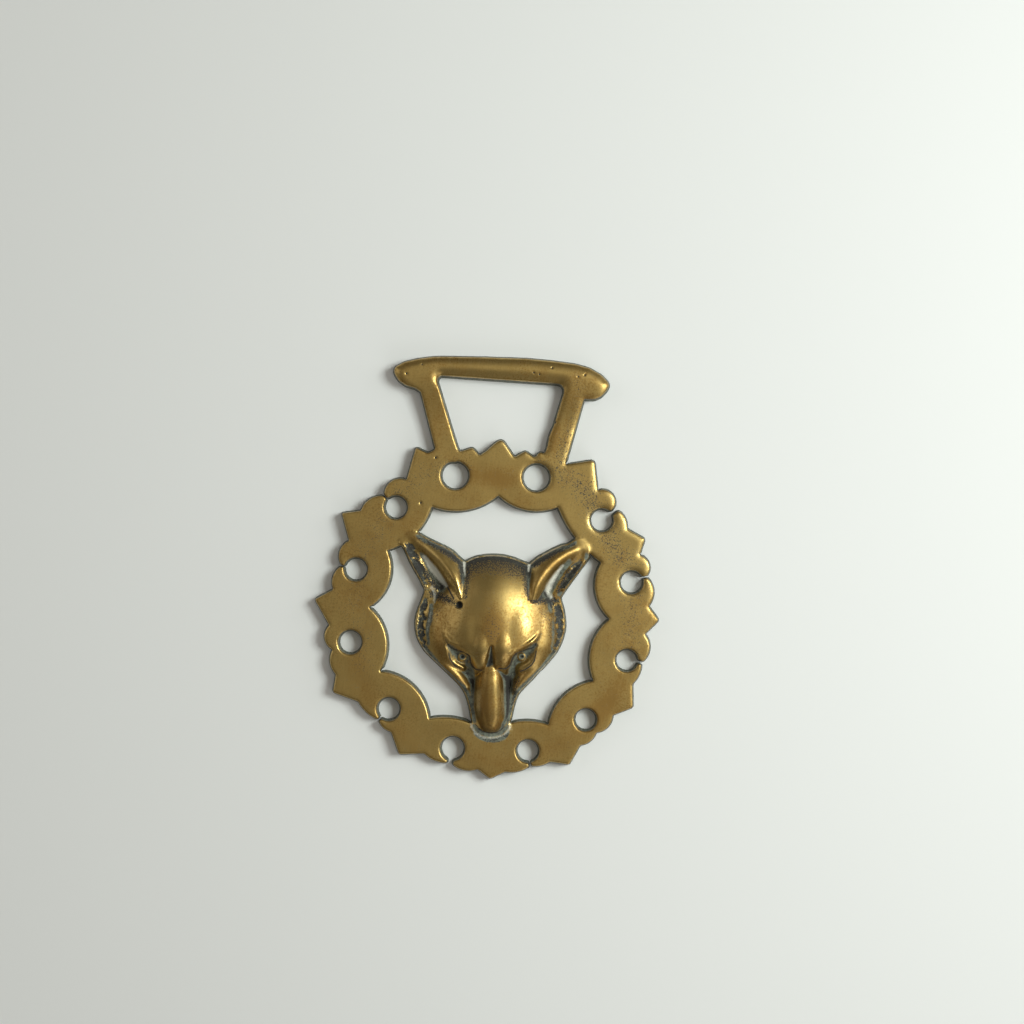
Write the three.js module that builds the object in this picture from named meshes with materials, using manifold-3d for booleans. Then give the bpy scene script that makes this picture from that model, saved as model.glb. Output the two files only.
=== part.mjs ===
// Horse brass with a fox's mask: one brass casting. A flat ring of twelve pierced scallops holds the head by
// its ears and its nose, and two legs above carry the cross bar that a strap passes under.
// Millimetres, +Z up: the brass lies on its flat back, its face up, with the hanger towards +Y.
// Everything is laid out from the ring's centre, turns are in degrees anticlockwise from +X, and the whole is
// moved at the end so that the origin is the middle of its footprint.
import * as THREE from 'three';
import { mergeVertices } from 'three/addons/utils/BufferGeometryUtils.js';
import Module from 'manifold-3d';

const wasm = await Module();
wasm.setup();

// ---------------------------------------------------------------- driving sizes
const PLATE = 3.0; // thickness of the ring and the legs
const HOLE_SIDES = 24;
const LOBE_STEPS = 6; // straight steps along each crest of the rim
const BULGE_STEPS = 9; // straight steps along each bulge inside the ring
const SLIT_END = 38; // every slit is cut out to this distance from the centre

// The scallops, anticlockwise from the right: turn, distance and radius of the hole; turn and width of the
// slit that opens it (0 where it is closed); the two crests of the rim beside it and the mouth between them,
// as [turn, distance]; then the point of the rim that follows it, between its two feet.
const SCALLOPS = [
  { hole: [-17, 30, 2.5], slit: [-16, 0.7], crests: [[-20.5, 33.5], [-10, 33.9]], mouth: [-16, 33],
    feet: [[-5.5, 32.3], [5, 32.8]], point: [0, 35] },
  { hole: [15, 30, 2.6], slit: [15.8, 0.5], crests: [[11, 34.2], [19.3, 34.5]], mouth: [15.8, 33.2],
    feet: [[24, 33.2], [34.7, 33.3]], point: [28.5, 35.6] },
  { hole: [43, 30.2, 2.6], slit: [42.6, 1.1], crests: [[38.5, 34.3], [48, 35.5]], mouth: [43.4, 33.6],
    feet: [[52, 33.9], [52, 33.9]], point: null },
  { hole: [135.2, 30.3, 2.6], slit: [135.5, 0.3], crests: [[131, 35.1], [138, 34.9]], mouth: [135.5, 33.6],
    feet: [[145, 35.2], [156, 33.9]], point: [149.2, 38.2] },
  { hole: [165, 30.4, 2.6], slit: [165.3, 0.3], crests: [[160, 34.9], [168.5, 34.5]], mouth: [165.3, 33.4],
    feet: [[174.3, 34], [187, 34.6]], point: [178.3, 37.7] },
  { hole: [194.2, 30.8, 2.65], slit: [195.5, 0], crests: [[190.3, 35.9], [200, 36]], mouth: [195.5, 34.7],
    feet: [[204, 35.6], [216, 34]], point: [209, 37.7] },
  { hole: [225.3, 30, 2.6], slit: [225.7, 0.5], crests: [[218.5, 34.1], [228, 33.5]], mouth: [225.7, 33],
    feet: [[232, 33], [246.5, 33]], point: [239, 35.8] },
  { hole: [256, 29.9, 2.7], slit: [256.6, 1.3], crests: [[251, 33.5], [261, 33.7]], mouth: [256.8, 32.8],
    feet: [[267, 33.1], [277, 33.6]], point: [271.5, 35] },
  { hole: [286.7, 30.1, 2.55], slit: [286.3, 0.55], crests: [[281.5, 33.9], [290.5, 33.8]],
    mouth: [286.3, 33.2], feet: [[293.5, 33.6], [306, 33.4]], point: [299.2, 35.8] },
  { hole: [313.5, 29.9, 2.5], slit: [313.3, 0], crests: [[309.2, 34], [317.7, 34.2]], mouth: [313.3, 33.3],
    feet: [[322, 33.2], [335.5, 33]], point: [328.5, 35.6] },
];
// The two large holes under the legs have no scallop of their own.
const LEG_HOLES = [[108, 30.1, 3.1], [74.8, 30, 3.1]];
// The top of the ring from the right-hand tab, under both legs, to the left-hand tab.
const TOP_EDGE = [[20.1, 31.5], [19.7, 33], [13.8, 31.9], [8.3, 34.3], [7.3, 33.2], [5.3, 34.4], [2.9, 33.1],
  [0, 36.5], [-4.4, 33], [-5.9, 34.5], [-8.5, 33.7], [-13.7, 33.9], [-15.3, 33], [-17.8, 34.1]];
const TOP_FOOT = [125.7, 33.4]; // where the left-hand tab meets the next scallop
// Inside the ring, between each two cusps, the metal bulges inwards round a hole.
const CUSPS = [[27.5, 25.3], [61, 26.3], [90, 24.9], [122.5, 26], [152, 26], [180, 26.3], [210, 27],
  [241.5, 26.2], [270, 25.6], [299, 26.5], [328.5, 25.8], [359.5, 24.8]];
const BULGES = [[45, 23.6], [76, 22.8], [106, 22.4], [137, 23.4], [165, 22.9], [194.5, 23.1], [227, 22.9],
  [253, 23.7], [288, 23.8], [314, 23.1], [345, 22], [373, 22.1]];

const LEGS = [
  [[-13.6, 31.5], [-9.2, 31.5], [-8.9, 33.9], [-9.8, 36.2], [-14, 48.1], [-14, 50.5], [-17.3, 50.5],
    [-17.3, 46], [-13.7, 34]],
  [[9.6, 31.5], [13.7, 31.5], [13.8, 32], [17.1, 46], [17.1, 50], [12.9, 50], [12.9, 47], [12, 43.5],
    [10.3, 38], [9.5, 34]],
];
const BAR = 4.0; // thickness of the cross bar
const BAR_ROUND = { width: 1.2, height: 1.6 }; // its rounded edge
const BAR_LEFT = [[-14, 48.1], [-17.3, 46], [-20.5, 47.2], [-22.9, 49.3], [-22.9, 51], [-18, 52.9]];
const BAR_TOP = [[-12.8, 53.5], [4.5, 53.9], [10, 53.65]];
const BAR_RIGHT = [[18, 52.5], [22.2, 49.6], [20.8, 46.8], [17.1, 46], [12.9, 47]];
const BAR_UNDER = [[11.5, 49], [-13.4, 49.6]]; // the straight edge that bears on the strap

// ---------------------------------------------------------------- sizes of the head
const HEAD_CELL = 0.75; // spacing of the head's carved surface
const HEAD_BOX = { left: -21, right: 20, low: -28, high: 18 };
const RIM_HEIGHT = 2.4; // height of the head's outer edge over the back
const RIM_FOOT = 0.5; // lowest that the carved block falls outside it
const RIM_RISE = 7.2; // how much further its side rises
const RIM_WIDTH = 2.6; // and over what width
const FLOOR = 2.9; // height of the ground between the head's raised forms
// The head's outline, anticlockwise from the left ear's tip; each end runs on into the ring.
const HEAD_OUTLINE = [[-20.5, 17], [-20.5, 13.8], [-18, 10], [-16, 6.8], [-14.5, 4.2], [-15.2, 1.5],
  [-16.2, -1.5], [-16.1, -4.5], [-15, -7.3], [-12.6, -10], [-10, -12.4], [-7.9, -14.1], [-5.8, -16],
  [-4.7, -18], [-4, -20.2], [-3.4, -23], [-3.2, -25.4], [-1.9, -26.9], [0.9, -27.5], [3.4, -27],
  [4.7, -25.4], [4.7, -22.5], [5.2, -19.5], [6, -17], [7.9, -14.8], [10.1, -12.2], [12.6, -9.2],
  [14.4, -6.3], [15.3, -3], [15, 0.3], [14, 3.7], [14.8, 5.4], [16.5, 7.8], [18.5, 10.8], [19.8, 12.6],
  [19.8, 17], [16.5, 16.3], [15, 15.1], [12, 13.9], [9, 12.1], [7.3, 10.5], [5.5, 11.1], [2.5, 12],
  [-1, 12.1], [-4, 11.6], [-6.3, 10.3], [-8, 11.4], [-9.5, 12.8], [-13, 14.3], [-17.1, 16.4]];

// Rounded masses: middle, half-widths (and the one below the middle, where it is less), height of the foot,
// rise above it, and the fillet round the foot.
const SKULL = { at: [0, -6], size: [13.6, 18.4], below: 7.6, foot: 1.9, rise: 7.1, fillet: 1 };
const KNOBS = [
  { at: [-2.2, -7.7], size: [2.3, 4.4], foot: 5.4, rise: 3.5, fillet: 1 },
  { at: [2.4, -7.3], size: [2.3, 4.4], foot: 5.4, rise: 3.5, fillet: 1 },
];
const SWELL = { at: [0.2, 5], size: [5, 9], rise: 0.2 }; // the soft rise down the middle of the forehead
const EYES = [
  { at: [-6, -9.4], size: [1.1, 1.1], foot: 4.9, rise: 0.9, fillet: 0.1 },
  { at: [6.4, -8.8], size: [1.1, 1.1], foot: 4.9, rise: 0.9, fillet: 0.1 },
];
// Ridges: stations of [x, y, height of the crest, half-width] along each; how far the crest's round drops to
// its side, the power of that round, and the fillet where the ridge meets what lies under it.
const RIDGES = {
  cheeks: { drop: 1, power: 2, fillet: 1.6 },
  muzzle: { drop: 1.7, power: 4, fillet: 0.3 },
  ears: { drop: 1.5, power: 2, fillet: 0.8 },
  folds: { drop: 0.7, power: 2, fillet: 0.5 },
};
const MUZZLE = [[0.1, -11.9, 6.9, 2], [0.15, -14, 7.4, 2.5], [0.5, -18, 7.2, 2.8], [0.85, -21, 6.9, 2.8],
  [0.9, -22.6, 6.4, 2.4]];
const CHEEKS = [
  [[-11.7, -1, 5, 1.7], [-11.2, -6, 5.4, 1.8], [-9.7, -10.6, 5.5, 1.6], [-7, -13.4, 5.2, 1.3],
    [-4.9, -15.8, 4.6, 0.9]],
  [[11.2, -1, 5, 1.7], [10.8, -6, 5.4, 1.8], [9.2, -10.4, 5.5, 1.6], [7, -13.4, 5.2, 1.3],
    [5.6, -15.7, 4.6, 0.9]],
];
const EARS = [
  [[-6.9, 3.1, 7, 0.8], [-8.1, 6.6, 7, 1.5], [-10, 9.6, 6.2, 2], [-12.8, 12.2, 5.1, 2.1],
    [-18.5, 16, 2.6, 1.8]],
  [[8.2, 3.2, 6.8, 1.1], [9, 6.6, 6.9, 1.6], [11.1, 10, 6.1, 1.9], [14.4, 12.8, 4.9, 1.8],
    [18.8, 15, 2.6, 1.8]],
];
const EAR_RIMS = [
  [[-19.6, 13.6, 3, 0.8], [-17, 9, 3.6, 0.8], [-15, 5, 3.6, 0.8]],
  [[19, 12.4, 3, 0.8], [17, 9.2, 3.6, 0.8], [14.9, 5.8, 3.6, 0.8]],
];
const RUFFS = [
  [[-13.9, 2.6, 3.6, 0.9], [-15, 0, 3.7, 0.9], [-15.3, -3.2, 3.7, 0.9], [-14.6, -6.2, 3.5, 0.9]],
  [[13.4, 2.6, 3.6, 0.9], [14.3, 0, 3.7, 0.9], [14.6, -3.2, 3.7, 0.9], [13.9, -6.4, 3.5, 0.9]],
];
// Hollows: stations of [x, y, depth below the ground around, half-width].
const SOCKETS = [
  [[-8.9, -7.2, 0.8, 0.6], [-6.7, -9.2, 2.3, 1.5], [-4.6, -11.2, 2.3, 1.1], [-3.6, -15, 1.6, 0.8]],
  [[9, -6.4, 0.8, 0.6], [6.9, -8.6, 2.3, 1.5], [4.9, -10.9, 2.3, 1.1], [4.4, -15, 1.6, 0.8]],
];
// Between the brow's two knobs.
const GROOVE = [[0, -7, 0.7, 0.4], [0, -9.6, 1.5, 0.8], [-0.1, -11, 1.3, 0.9]];
const SINK_REACH = 1.6; // a hollow fades out at this many half-widths from its line
const HOLLOW = { at: [0, 0.5], size: [9.5, 9.5], depth: 5.4 }; // the open hollow behind the skull

// ---------------------------------------------------------------- plane geometry
function polar([turn, reach]) {
  const angle = THREE.MathUtils.degToRad(turn);
  return new THREE.Vector2(reach * Math.cos(angle), reach * Math.sin(angle));
}

function toPoints(pairs) {
  return pairs.map(([x, y]) => new THREE.Vector2(x, y));
}

// Points after `from` up to `to`, along the circle through all three.
function arcThrough(from, via, to, steps) {
  const [a, b, c] = [from, via, to].map((p) => p.lengthSq());
  const twice = 2 * (from.x * (via.y - to.y) + via.x * (to.y - from.y) + to.x * (from.y - via.y));
  const centre = new THREE.Vector2(
    (a * (via.y - to.y) + b * (to.y - from.y) + c * (from.y - via.y)) / twice,
    (a * (to.x - via.x) + b * (from.x - to.x) + c * (via.x - from.x)) / twice,
  );
  const start = from.clone().sub(centre);
  let sweep = to.clone().sub(centre).angle() - start.angle();
  if (twice > 0 && sweep < 0) sweep += 2 * Math.PI;
  if (twice < 0 && sweep > 0) sweep -= 2 * Math.PI;
  const origin = new THREE.Vector2();
  return Array.from({ length: steps }, (_, i) => (
    start.clone().rotateAround(origin, (sweep * (i + 1)) / steps).add(centre)));
}

function circle([turn, reach, radius]) {
  const centre = polar([turn, reach]);
  const hole = new THREE.Path();
  hole.absarc(centre.x, centre.y, radius, 0, 2 * Math.PI, false);
  return new THREE.Path(hole.getSpacedPoints(HOLE_SIDES).slice(0, -1));
}

// ---------------------------------------------------------------- solids
function toSolid(geometry) {
  const bare = geometry.index ? geometry.toNonIndexed() : geometry.clone();
  bare.deleteAttribute('normal');
  bare.deleteAttribute('uv');
  const merged = mergeVertices(bare, 1e-4);
  return new wasm.Manifold(new wasm.Mesh({
    numProp: 3,
    vertProperties: new Float32Array(merged.attributes.position.array),
    triVerts: new Uint32Array(merged.index.array),
  }));
}

function toGeometry(solid) {
  const mesh = solid.getMesh();
  const geometry = new THREE.BufferGeometry();
  geometry.setAttribute('position', new THREE.BufferAttribute(mesh.vertProperties, 3));
  geometry.setIndex(new THREE.BufferAttribute(mesh.triVerts, 1));
  geometry.computeVertexNormals();
  return geometry;
}

function plate(shape, thickness = PLATE) {
  return toSolid(new THREE.ExtrudeGeometry(shape, { depth: thickness, bevelEnabled: false }));
}

// ---------------------------------------------------------------- the ring
function rimPoints() {
  const rim = [];
  let foot = polar(SCALLOPS.at(-1).feet[1]);
  for (const { crests, mouth, feet, point } of SCALLOPS) {
    rim.push(...arcThrough(foot, polar(crests[0]), polar(mouth), LOBE_STEPS));
    rim.push(...arcThrough(polar(mouth), polar(crests[1]), polar(feet[0]), LOBE_STEPS));
    if (point) {
      rim.push(polar(point), polar(feet[1]));
      foot = polar(feet[1]);
    } else {
      rim.push(...toPoints(TOP_EDGE), polar(TOP_FOOT));
      foot = polar(TOP_FOOT);
    }
  }
  return rim;
}

function windowPoints() {
  return CUSPS.flatMap((cusp, i) => {
    const next = CUSPS[(i + 1) % CUSPS.length];
    return arcThrough(polar(cusp), polar(BULGES[i]), polar(next), BULGE_STEPS);
  });
}

function makeRing() {
  const shape = new THREE.Shape(rimPoints());
  shape.holes.push(new THREE.Path(windowPoints()));
  const holes = [...SCALLOPS.map((scallop) => scallop.hole), ...LEG_HOLES];
  for (const hole of holes) shape.holes.push(circle(hole));
  let ring = plate(shape);
  for (const { hole, slit: [turn, width] } of SCALLOPS) {
    if (width === 0) continue;
    const length = SLIT_END - hole[1];
    const cut = new THREE.BoxGeometry(length, width, 3 * PLATE);
    cut.translate(hole[1] + length / 2, 0, 0);
    cut.rotateZ(THREE.MathUtils.degToRad(turn));
    ring = ring.subtract(toSolid(cut));
  }
  return ring;
}

// ---------------------------------------------------------------- the hanger
function makeBar() {
  const outline = toPoints([...BAR_LEFT, ...BAR_TOP, ...BAR_RIGHT, ...BAR_UNDER]);
  const round = new THREE.ExtrudeGeometry(new THREE.Shape(outline), {
    depth: BAR, bevelThickness: BAR_ROUND.height, bevelSize: BAR_ROUND.width, bevelOffset: -BAR_ROUND.width,
    bevelSegments: 3,
  });
  round.translate(0, 0, -BAR_ROUND.height);
  return toSolid(round);
}

function makeHanger() {
  return LEGS.reduce((hanger, leg) => hanger.add(plate(new THREE.Shape(toPoints(leg)))), makeBar());
}

// ---------------------------------------------------------------- the head
// The larger of two heights, with a fillet where they cross.
function blend(a, b, fillet) {
  const near = Math.max(fillet - Math.abs(a - b), 0) / fillet;
  return Math.max(a, b) + (near * near * fillet) / 4;
}

function addDome(height, x, y, { at, size, below = size[1], foot, rise, fillet }) {
  const reach = Math.hypot((x - at[0]) / size[0], (y - at[1]) / (y < at[1] ? below : size[1]));
  const dome = reach < 1 ? foot + rise * Math.sqrt(1 - reach * reach) : foot - rise * (reach - 1);
  return blend(height, dome, fillet);
}

// Value at the nearest place of a line of [x, y, value, half-width], and how far off it the place is, in
// half-widths.
function nearest(x, y, line) {
  let best = { off: Infinity, value: 0 };
  for (let i = 1; i < line.length; i += 1) {
    const [x0, y0, value0, width0] = line[i - 1];
    const [x1, y1, value1, width1] = line[i];
    const along = ((x - x0) * (x1 - x0) + (y - y0) * (y1 - y0)) / ((x1 - x0) ** 2 + (y1 - y0) ** 2);
    const t = THREE.MathUtils.clamp(along, 0, 1);
    const gap = Math.hypot(x - THREE.MathUtils.lerp(x0, x1, t), y - THREE.MathUtils.lerp(y0, y1, t));
    const off = gap / THREE.MathUtils.lerp(width0, width1, t);
    if (off < best.off) best = { off, value: THREE.MathUtils.lerp(value0, value1, t) };
  }
  return best;
}

// A ridge rounds over from its crest, then falls straight on to the ground.
function addRidge(height, x, y, line, { drop, power, fillet }) {
  const { off, value } = nearest(x, y, line);
  const fall = off < 1 ? drop * off ** power : drop * (1 + power * (off - 1));
  return blend(height, value - fall, fillet);
}

function sinkDepth(x, y, line) {
  const { off, value } = nearest(x, y, line);
  return off < SINK_REACH ? value * Math.cos(((off / SINK_REACH) * Math.PI) / 2) ** 2 : 0;
}

// Distance inside the head's outline, negative outside it.
function inset(x, y) {
  let gap = Infinity;
  let inside = false;
  HEAD_OUTLINE.forEach(([x0, y0], i) => {
    const [x1, y1] = HEAD_OUTLINE[(i + 1) % HEAD_OUTLINE.length];
    const along = ((x - x0) * (x1 - x0) + (y - y0) * (y1 - y0)) / ((x1 - x0) ** 2 + (y1 - y0) ** 2);
    const t = THREE.MathUtils.clamp(along, 0, 1);
    gap = Math.min(gap, Math.hypot(x - THREE.MathUtils.lerp(x0, x1, t), y - THREE.MathUtils.lerp(y0, y1, t)));
    if ((y0 > y) !== (y1 > y) && x < x0 + ((x1 - x0) * (y - y0)) / (y1 - y0)) inside = !inside;
  });
  return inside ? gap : -gap;
}

// The head's side rises steeply from its outer edge and rounds over.
function sideHeight(x, y) {
  const part = Math.min(inset(x, y) / RIM_WIDTH, 1);
  return Math.max(RIM_HEIGHT + RIM_RISE * part * (2 - part), RIM_FOOT);
}

function headHeight(x, y) {
  let height = addDome(FLOOR, x, y, SKULL);
  const reach = Math.hypot((x - SWELL.at[0]) / SWELL.size[0], (y - SWELL.at[1]) / SWELL.size[1]);
  if (reach < 1) height += SWELL.rise * (1 - reach * reach) ** 2;
  for (const socket of SOCKETS) height -= sinkDepth(x, y, socket);
  for (const knob of KNOBS) height = addDome(height, x, y, knob);
  height -= sinkDepth(x, y, GROOVE);
  for (const eye of EYES) height = addDome(height, x, y, eye);
  for (const cheek of CHEEKS) height = addRidge(height, x, y, cheek, RIDGES.cheeks);
  height = addRidge(height, x, y, MUZZLE, RIDGES.muzzle);
  for (const ear of EARS) height = addRidge(height, x, y, ear, RIDGES.ears);
  for (const fold of [...EAR_RIMS, ...RUFFS]) height = addRidge(height, x, y, fold, RIDGES.folds);
  return Math.min(Math.max(height, FLOOR), sideHeight(x, y));
}

// A block whose top is the carved surface; the outline's plate then trims it to the head. Each square of the
// top is split along whichever diagonal is nearer level, so that steep sides keep a clean edge.
function carvedBlock() {
  const { left, right, low, high } = HEAD_BOX;
  const columns = Math.round((right - left) / HEAD_CELL);
  const rows = Math.round((high - low) / HEAD_CELL);
  const vertices = [];
  const faces = [];
  const top = (i, j) => j * (columns + 1) + i;
  const step = (a, b) => Math.abs(vertices[3 * a + 2] - vertices[3 * b + 2]);
  for (let j = 0; j <= rows; j += 1) {
    for (let i = 0; i <= columns; i += 1) {
      const x = left + ((right - left) * i) / columns;
      const y = low + ((high - low) * j) / rows;
      vertices.push(x, y, headHeight(x, y));
      if (i > 0 && j > 0) {
        const [a, b, c, d] = [top(i - 1, j - 1), top(i, j - 1), top(i, j), top(i - 1, j)];
        if (step(a, c) < step(b, d)) faces.push(a, b, c, a, c, d);
        else faces.push(a, b, d, b, c, d);
      }
    }
  }
  const border = [
    ...Array.from({ length: columns }, (_, i) => top(i, 0)),
    ...Array.from({ length: rows }, (_, j) => top(columns, j)),
    ...Array.from({ length: columns }, (_, i) => top(columns - i, rows)),
    ...Array.from({ length: rows }, (_, j) => top(0, rows - j)),
  ];
  const base = vertices.length / 3;
  for (const corner of border) vertices.push(vertices[3 * corner], vertices[3 * corner + 1], 0);
  const middle = vertices.length / 3;
  vertices.push((left + right) / 2, (low + high) / 2, 0);
  border.forEach((corner, k) => {
    const next = (k + 1) % border.length;
    faces.push(base + k, base + next, border[next], base + k, border[next], corner);
    faces.push(middle, base + next, base + k);
  });
  const block = new THREE.BufferGeometry();
  block.setAttribute('position', new THREE.Float32BufferAttribute(vertices, 3));
  block.setIndex(faces);
  return toSolid(block);
}

function makeHead() {
  const outline = plate(new THREE.Shape(toPoints(HEAD_OUTLINE)), 3 * RIM_RISE);
  return carvedBlock().intersect(outline);
}

function makeHollow() {
  const bowl = new THREE.SphereGeometry(1, 28, 14);
  bowl.scale(HOLLOW.size[0], HOLLOW.size[1], HOLLOW.depth);
  bowl.translate(HOLLOW.at[0], HOLLOW.at[1], 0);
  return toSolid(bowl);
}

// ---------------------------------------------------------------- the casting
function makeBrass() {
  const ground = new THREE.BoxGeometry(200, 200, 20);
  ground.translate(0, 0, -10);
  return makeRing().add(makeHanger()).add(makeHead()).subtract(makeHollow()).subtract(toSolid(ground));
}

const casting = toGeometry(makeBrass());
casting.computeBoundingBox();
const middle = casting.boundingBox.getCenter(new THREE.Vector3());

const brass = new THREE.Mesh(casting, new THREE.MeshStandardMaterial({
  color: 0xa8843f, roughness: 0.38, metalness: 1,
}));
brass.name = 'horse_brass';
brass.position.set(-middle.x, -middle.y, 0);

const part = new THREE.Group();
part.add(brass);
export default part;
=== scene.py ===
"""A cast horse brass with a fox's mask, lying face up on a pale floor.

The casting is one closed mesh. Its outline is laid out in plan from the ring's scallops, the hanger and the
head. Its face is a height worked out from named forms. Its sides lean out a little towards the flat back, as
the sides of a sand casting do. A geometry nodes tree then chases the fur into the face.
"""
import math

import bpy
import numpy as np
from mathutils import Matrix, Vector
from mathutils.geometry import delaunay_2d_cdt
from mathutils.kdtree import KDTree


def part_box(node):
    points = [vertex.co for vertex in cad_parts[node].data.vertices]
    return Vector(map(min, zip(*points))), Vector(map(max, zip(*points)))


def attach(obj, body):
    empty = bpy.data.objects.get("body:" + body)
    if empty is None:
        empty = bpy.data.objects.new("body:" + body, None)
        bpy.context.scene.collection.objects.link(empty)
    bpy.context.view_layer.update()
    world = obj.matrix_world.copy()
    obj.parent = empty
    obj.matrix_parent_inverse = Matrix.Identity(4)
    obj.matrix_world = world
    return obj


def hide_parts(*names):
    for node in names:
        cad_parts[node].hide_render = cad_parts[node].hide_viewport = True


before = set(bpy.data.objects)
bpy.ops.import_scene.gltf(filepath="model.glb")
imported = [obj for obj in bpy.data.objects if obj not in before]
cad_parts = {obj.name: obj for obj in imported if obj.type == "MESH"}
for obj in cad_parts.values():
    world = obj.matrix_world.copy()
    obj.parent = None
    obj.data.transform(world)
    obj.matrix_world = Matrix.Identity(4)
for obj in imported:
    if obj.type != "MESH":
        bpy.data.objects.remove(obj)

bl_info = {
    "name": "Horse brass",
    "version": (1, 0, 0),
    "blender": (4, 5, 0),
    "location": "View3D > Sidebar > Horse Brass",
    "description": "Builds a cast fox-mask horse brass and its stage",
    "category": "Object",
}

MM = 0.001
NODE = "horse_brass"
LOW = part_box(NODE)[0]

# ---- plan of the ring, in millimetres and degrees
# The scallops, anticlockwise from the right: turn, distance and radius of the hole; turn and width of the
# slit that opens it; the rim's two crests beside it and the mouth between them, each as (turn, distance);
# the two feet of the point that follows, and the point itself.
SCALLOPS = [
    dict(hole=(-17, 30, 2.5), slit=(-16, 0.7), crests=((-20.5, 33.5), (-10, 33.9)),
         mouth=(-16, 33), feet=((-5.5, 32.3), (5, 32.8)), point=(0, 35)),
    dict(hole=(15, 30, 2.6), slit=(15.8, 0.5), crests=((11, 34.2), (19.3, 34.5)),
         mouth=(15.8, 33.2), feet=((24, 33.2), (34.7, 33.3)), point=(28.5, 35.6)),
    dict(hole=(43, 30.2, 2.6), slit=(42.6, 1.1), crests=((38.5, 34.3), (48, 35.5)),
         mouth=(43.4, 33.6), feet=((52, 33.9), (52, 33.9)), point=None),
    dict(hole=(135.2, 30.3, 2.6), slit=(135.5, 0.3), crests=((131, 35.1), (138, 34.9)),
         mouth=(135.5, 33.6), feet=((145, 35.2), (156, 33.9)), point=(149.2, 38.2)),
    dict(hole=(165, 30.4, 2.6), slit=(165.3, 0.3), crests=((160, 34.9), (168.5, 34.5)),
         mouth=(165.3, 33.4), feet=((174.3, 34), (187, 34.6)), point=(178.3, 37.7)),
    dict(hole=(194.2, 30.8, 2.65), slit=(195.5, 0), crests=((190.3, 35.9), (200, 36)),
         mouth=(195.5, 34.7), feet=((204, 35.6), (216, 34)), point=(209, 37.7)),
    dict(hole=(225.3, 30, 2.6), slit=(225.7, 0.5), crests=((218.5, 34.1), (228, 33.5)),
         mouth=(225.7, 33), feet=((232, 33), (246.5, 33)), point=(239, 35.8)),
    dict(hole=(256, 29.9, 2.7), slit=(256.6, 1.3), crests=((251, 33.5), (261, 33.7)),
         mouth=(256.8, 32.8), feet=((267, 33.1), (277, 33.6)), point=(271.5, 35)),
    dict(hole=(286.7, 30.1, 2.55), slit=(286.3, 0.55), crests=((281.5, 33.9), (290.5, 33.8)),
         mouth=(286.3, 33.2), feet=((293.5, 33.6), (306, 33.4)), point=(299.2, 35.8)),
    dict(hole=(313.5, 29.9, 2.5), slit=(313.3, 0), crests=((309.2, 34), (317.7, 34.2)),
         mouth=(313.3, 33.3), feet=((322, 33.2), (335.5, 33)), point=(328.5, 35.6)),
]
LEG_HOLES = [(108, 30.1, 3.1), (74.8, 30, 3.1)]
LEFT_POINT = (178.3, 37.7)  # the casting's leftmost place, which sets the ring's centre in the frame
LOW_POINT = (271.5, 35)  # and its lowest
# The rim between the legs, in plain coordinates, and where the scallops go on from it.
TOP_EDGE = [(20.1, 31.5), (20.0, 32.6), (19.5, 33.05), (13.8, 31.9), (9.6, 34.0), (8.3, 34.3), (7.6, 33.3),
            (7.2, 33.1), (5.3, 34.4), (3.1, 33.0), (2.8, 33.2), (0.6, 36.2), (0, 36.5), (-0.8, 36.1),
            (-3, 34), (-4.4, 33), (-5.7, 34.4), (-6, 34.6), (-8.3, 33.7), (-8.9, 33.9), (-13.7, 33.9),
            (-15.3, 33), (-17.8, 34.1)]
TOP_FOOT = (125.7, 33.4)
# The window's edge: the points that stand into it, and the middles of the hollows between them.
CUSPS = [(27.5, 25.3), (61, 26.3), (90, 24.9), (122.5, 26), (152, 26), (180, 26.3), (210, 27),
         (241.5, 26.2), (270, 25.6), (299, 26.5), (328.5, 25.8), (359.5, 24.8)]
BULGES = [(45, 23.6), (76, 22.8), (106, 22.4), (137, 23.4), (165, 22.9), (194.5, 23.1), (227, 22.9),
          (253, 23.7), (288, 23.8), (314, 23.1), (345, 22), (373, 22.1)]

# ---- plan of the hanger and the head
LEGS = [
    [(-13, 31.5), (-9.2, 31.5), (-8.9, 33.9), (-9.8, 36.2), (-14, 48.1), (-14, 50.5), (-17.3, 50.5),
     (-17.3, 46), (-13.7, 34)],
    [(9.6, 31.5), (13.7, 31.5), (13.8, 32), (17.1, 46), (17.1, 50), (12.9, 50), (12.9, 47), (12, 43.5),
     (11.1, 40), (10.3, 38), (9.9, 35.3), (9.4, 34)],
]
BAR = [(-14.15, 48.8), (-14, 48.1), (-17.3, 46), (-18.5, 46.7), (-20.5, 47.2), (-22, 48.1), (-22.9, 49.3),
       (-23.2, 50.2), (-22.9, 51), (-21, 52.1), (-18, 52.9), (-15, 53.4), (-12.8, 53.55), (-4, 53.8),
       (4.5, 53.9), (10, 53.65), (15, 53.2), (18, 52.5), (20.5, 51.2), (22, 49.8), (22.3, 49), (21.8, 48),
       (20.8, 46.8), (19.5, 46.1), (17.5, 46), (12.9, 47), (12.9, 47.9), (12.3, 48.8), (11.5, 49),
       (-13.4, 49.6)]
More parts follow.
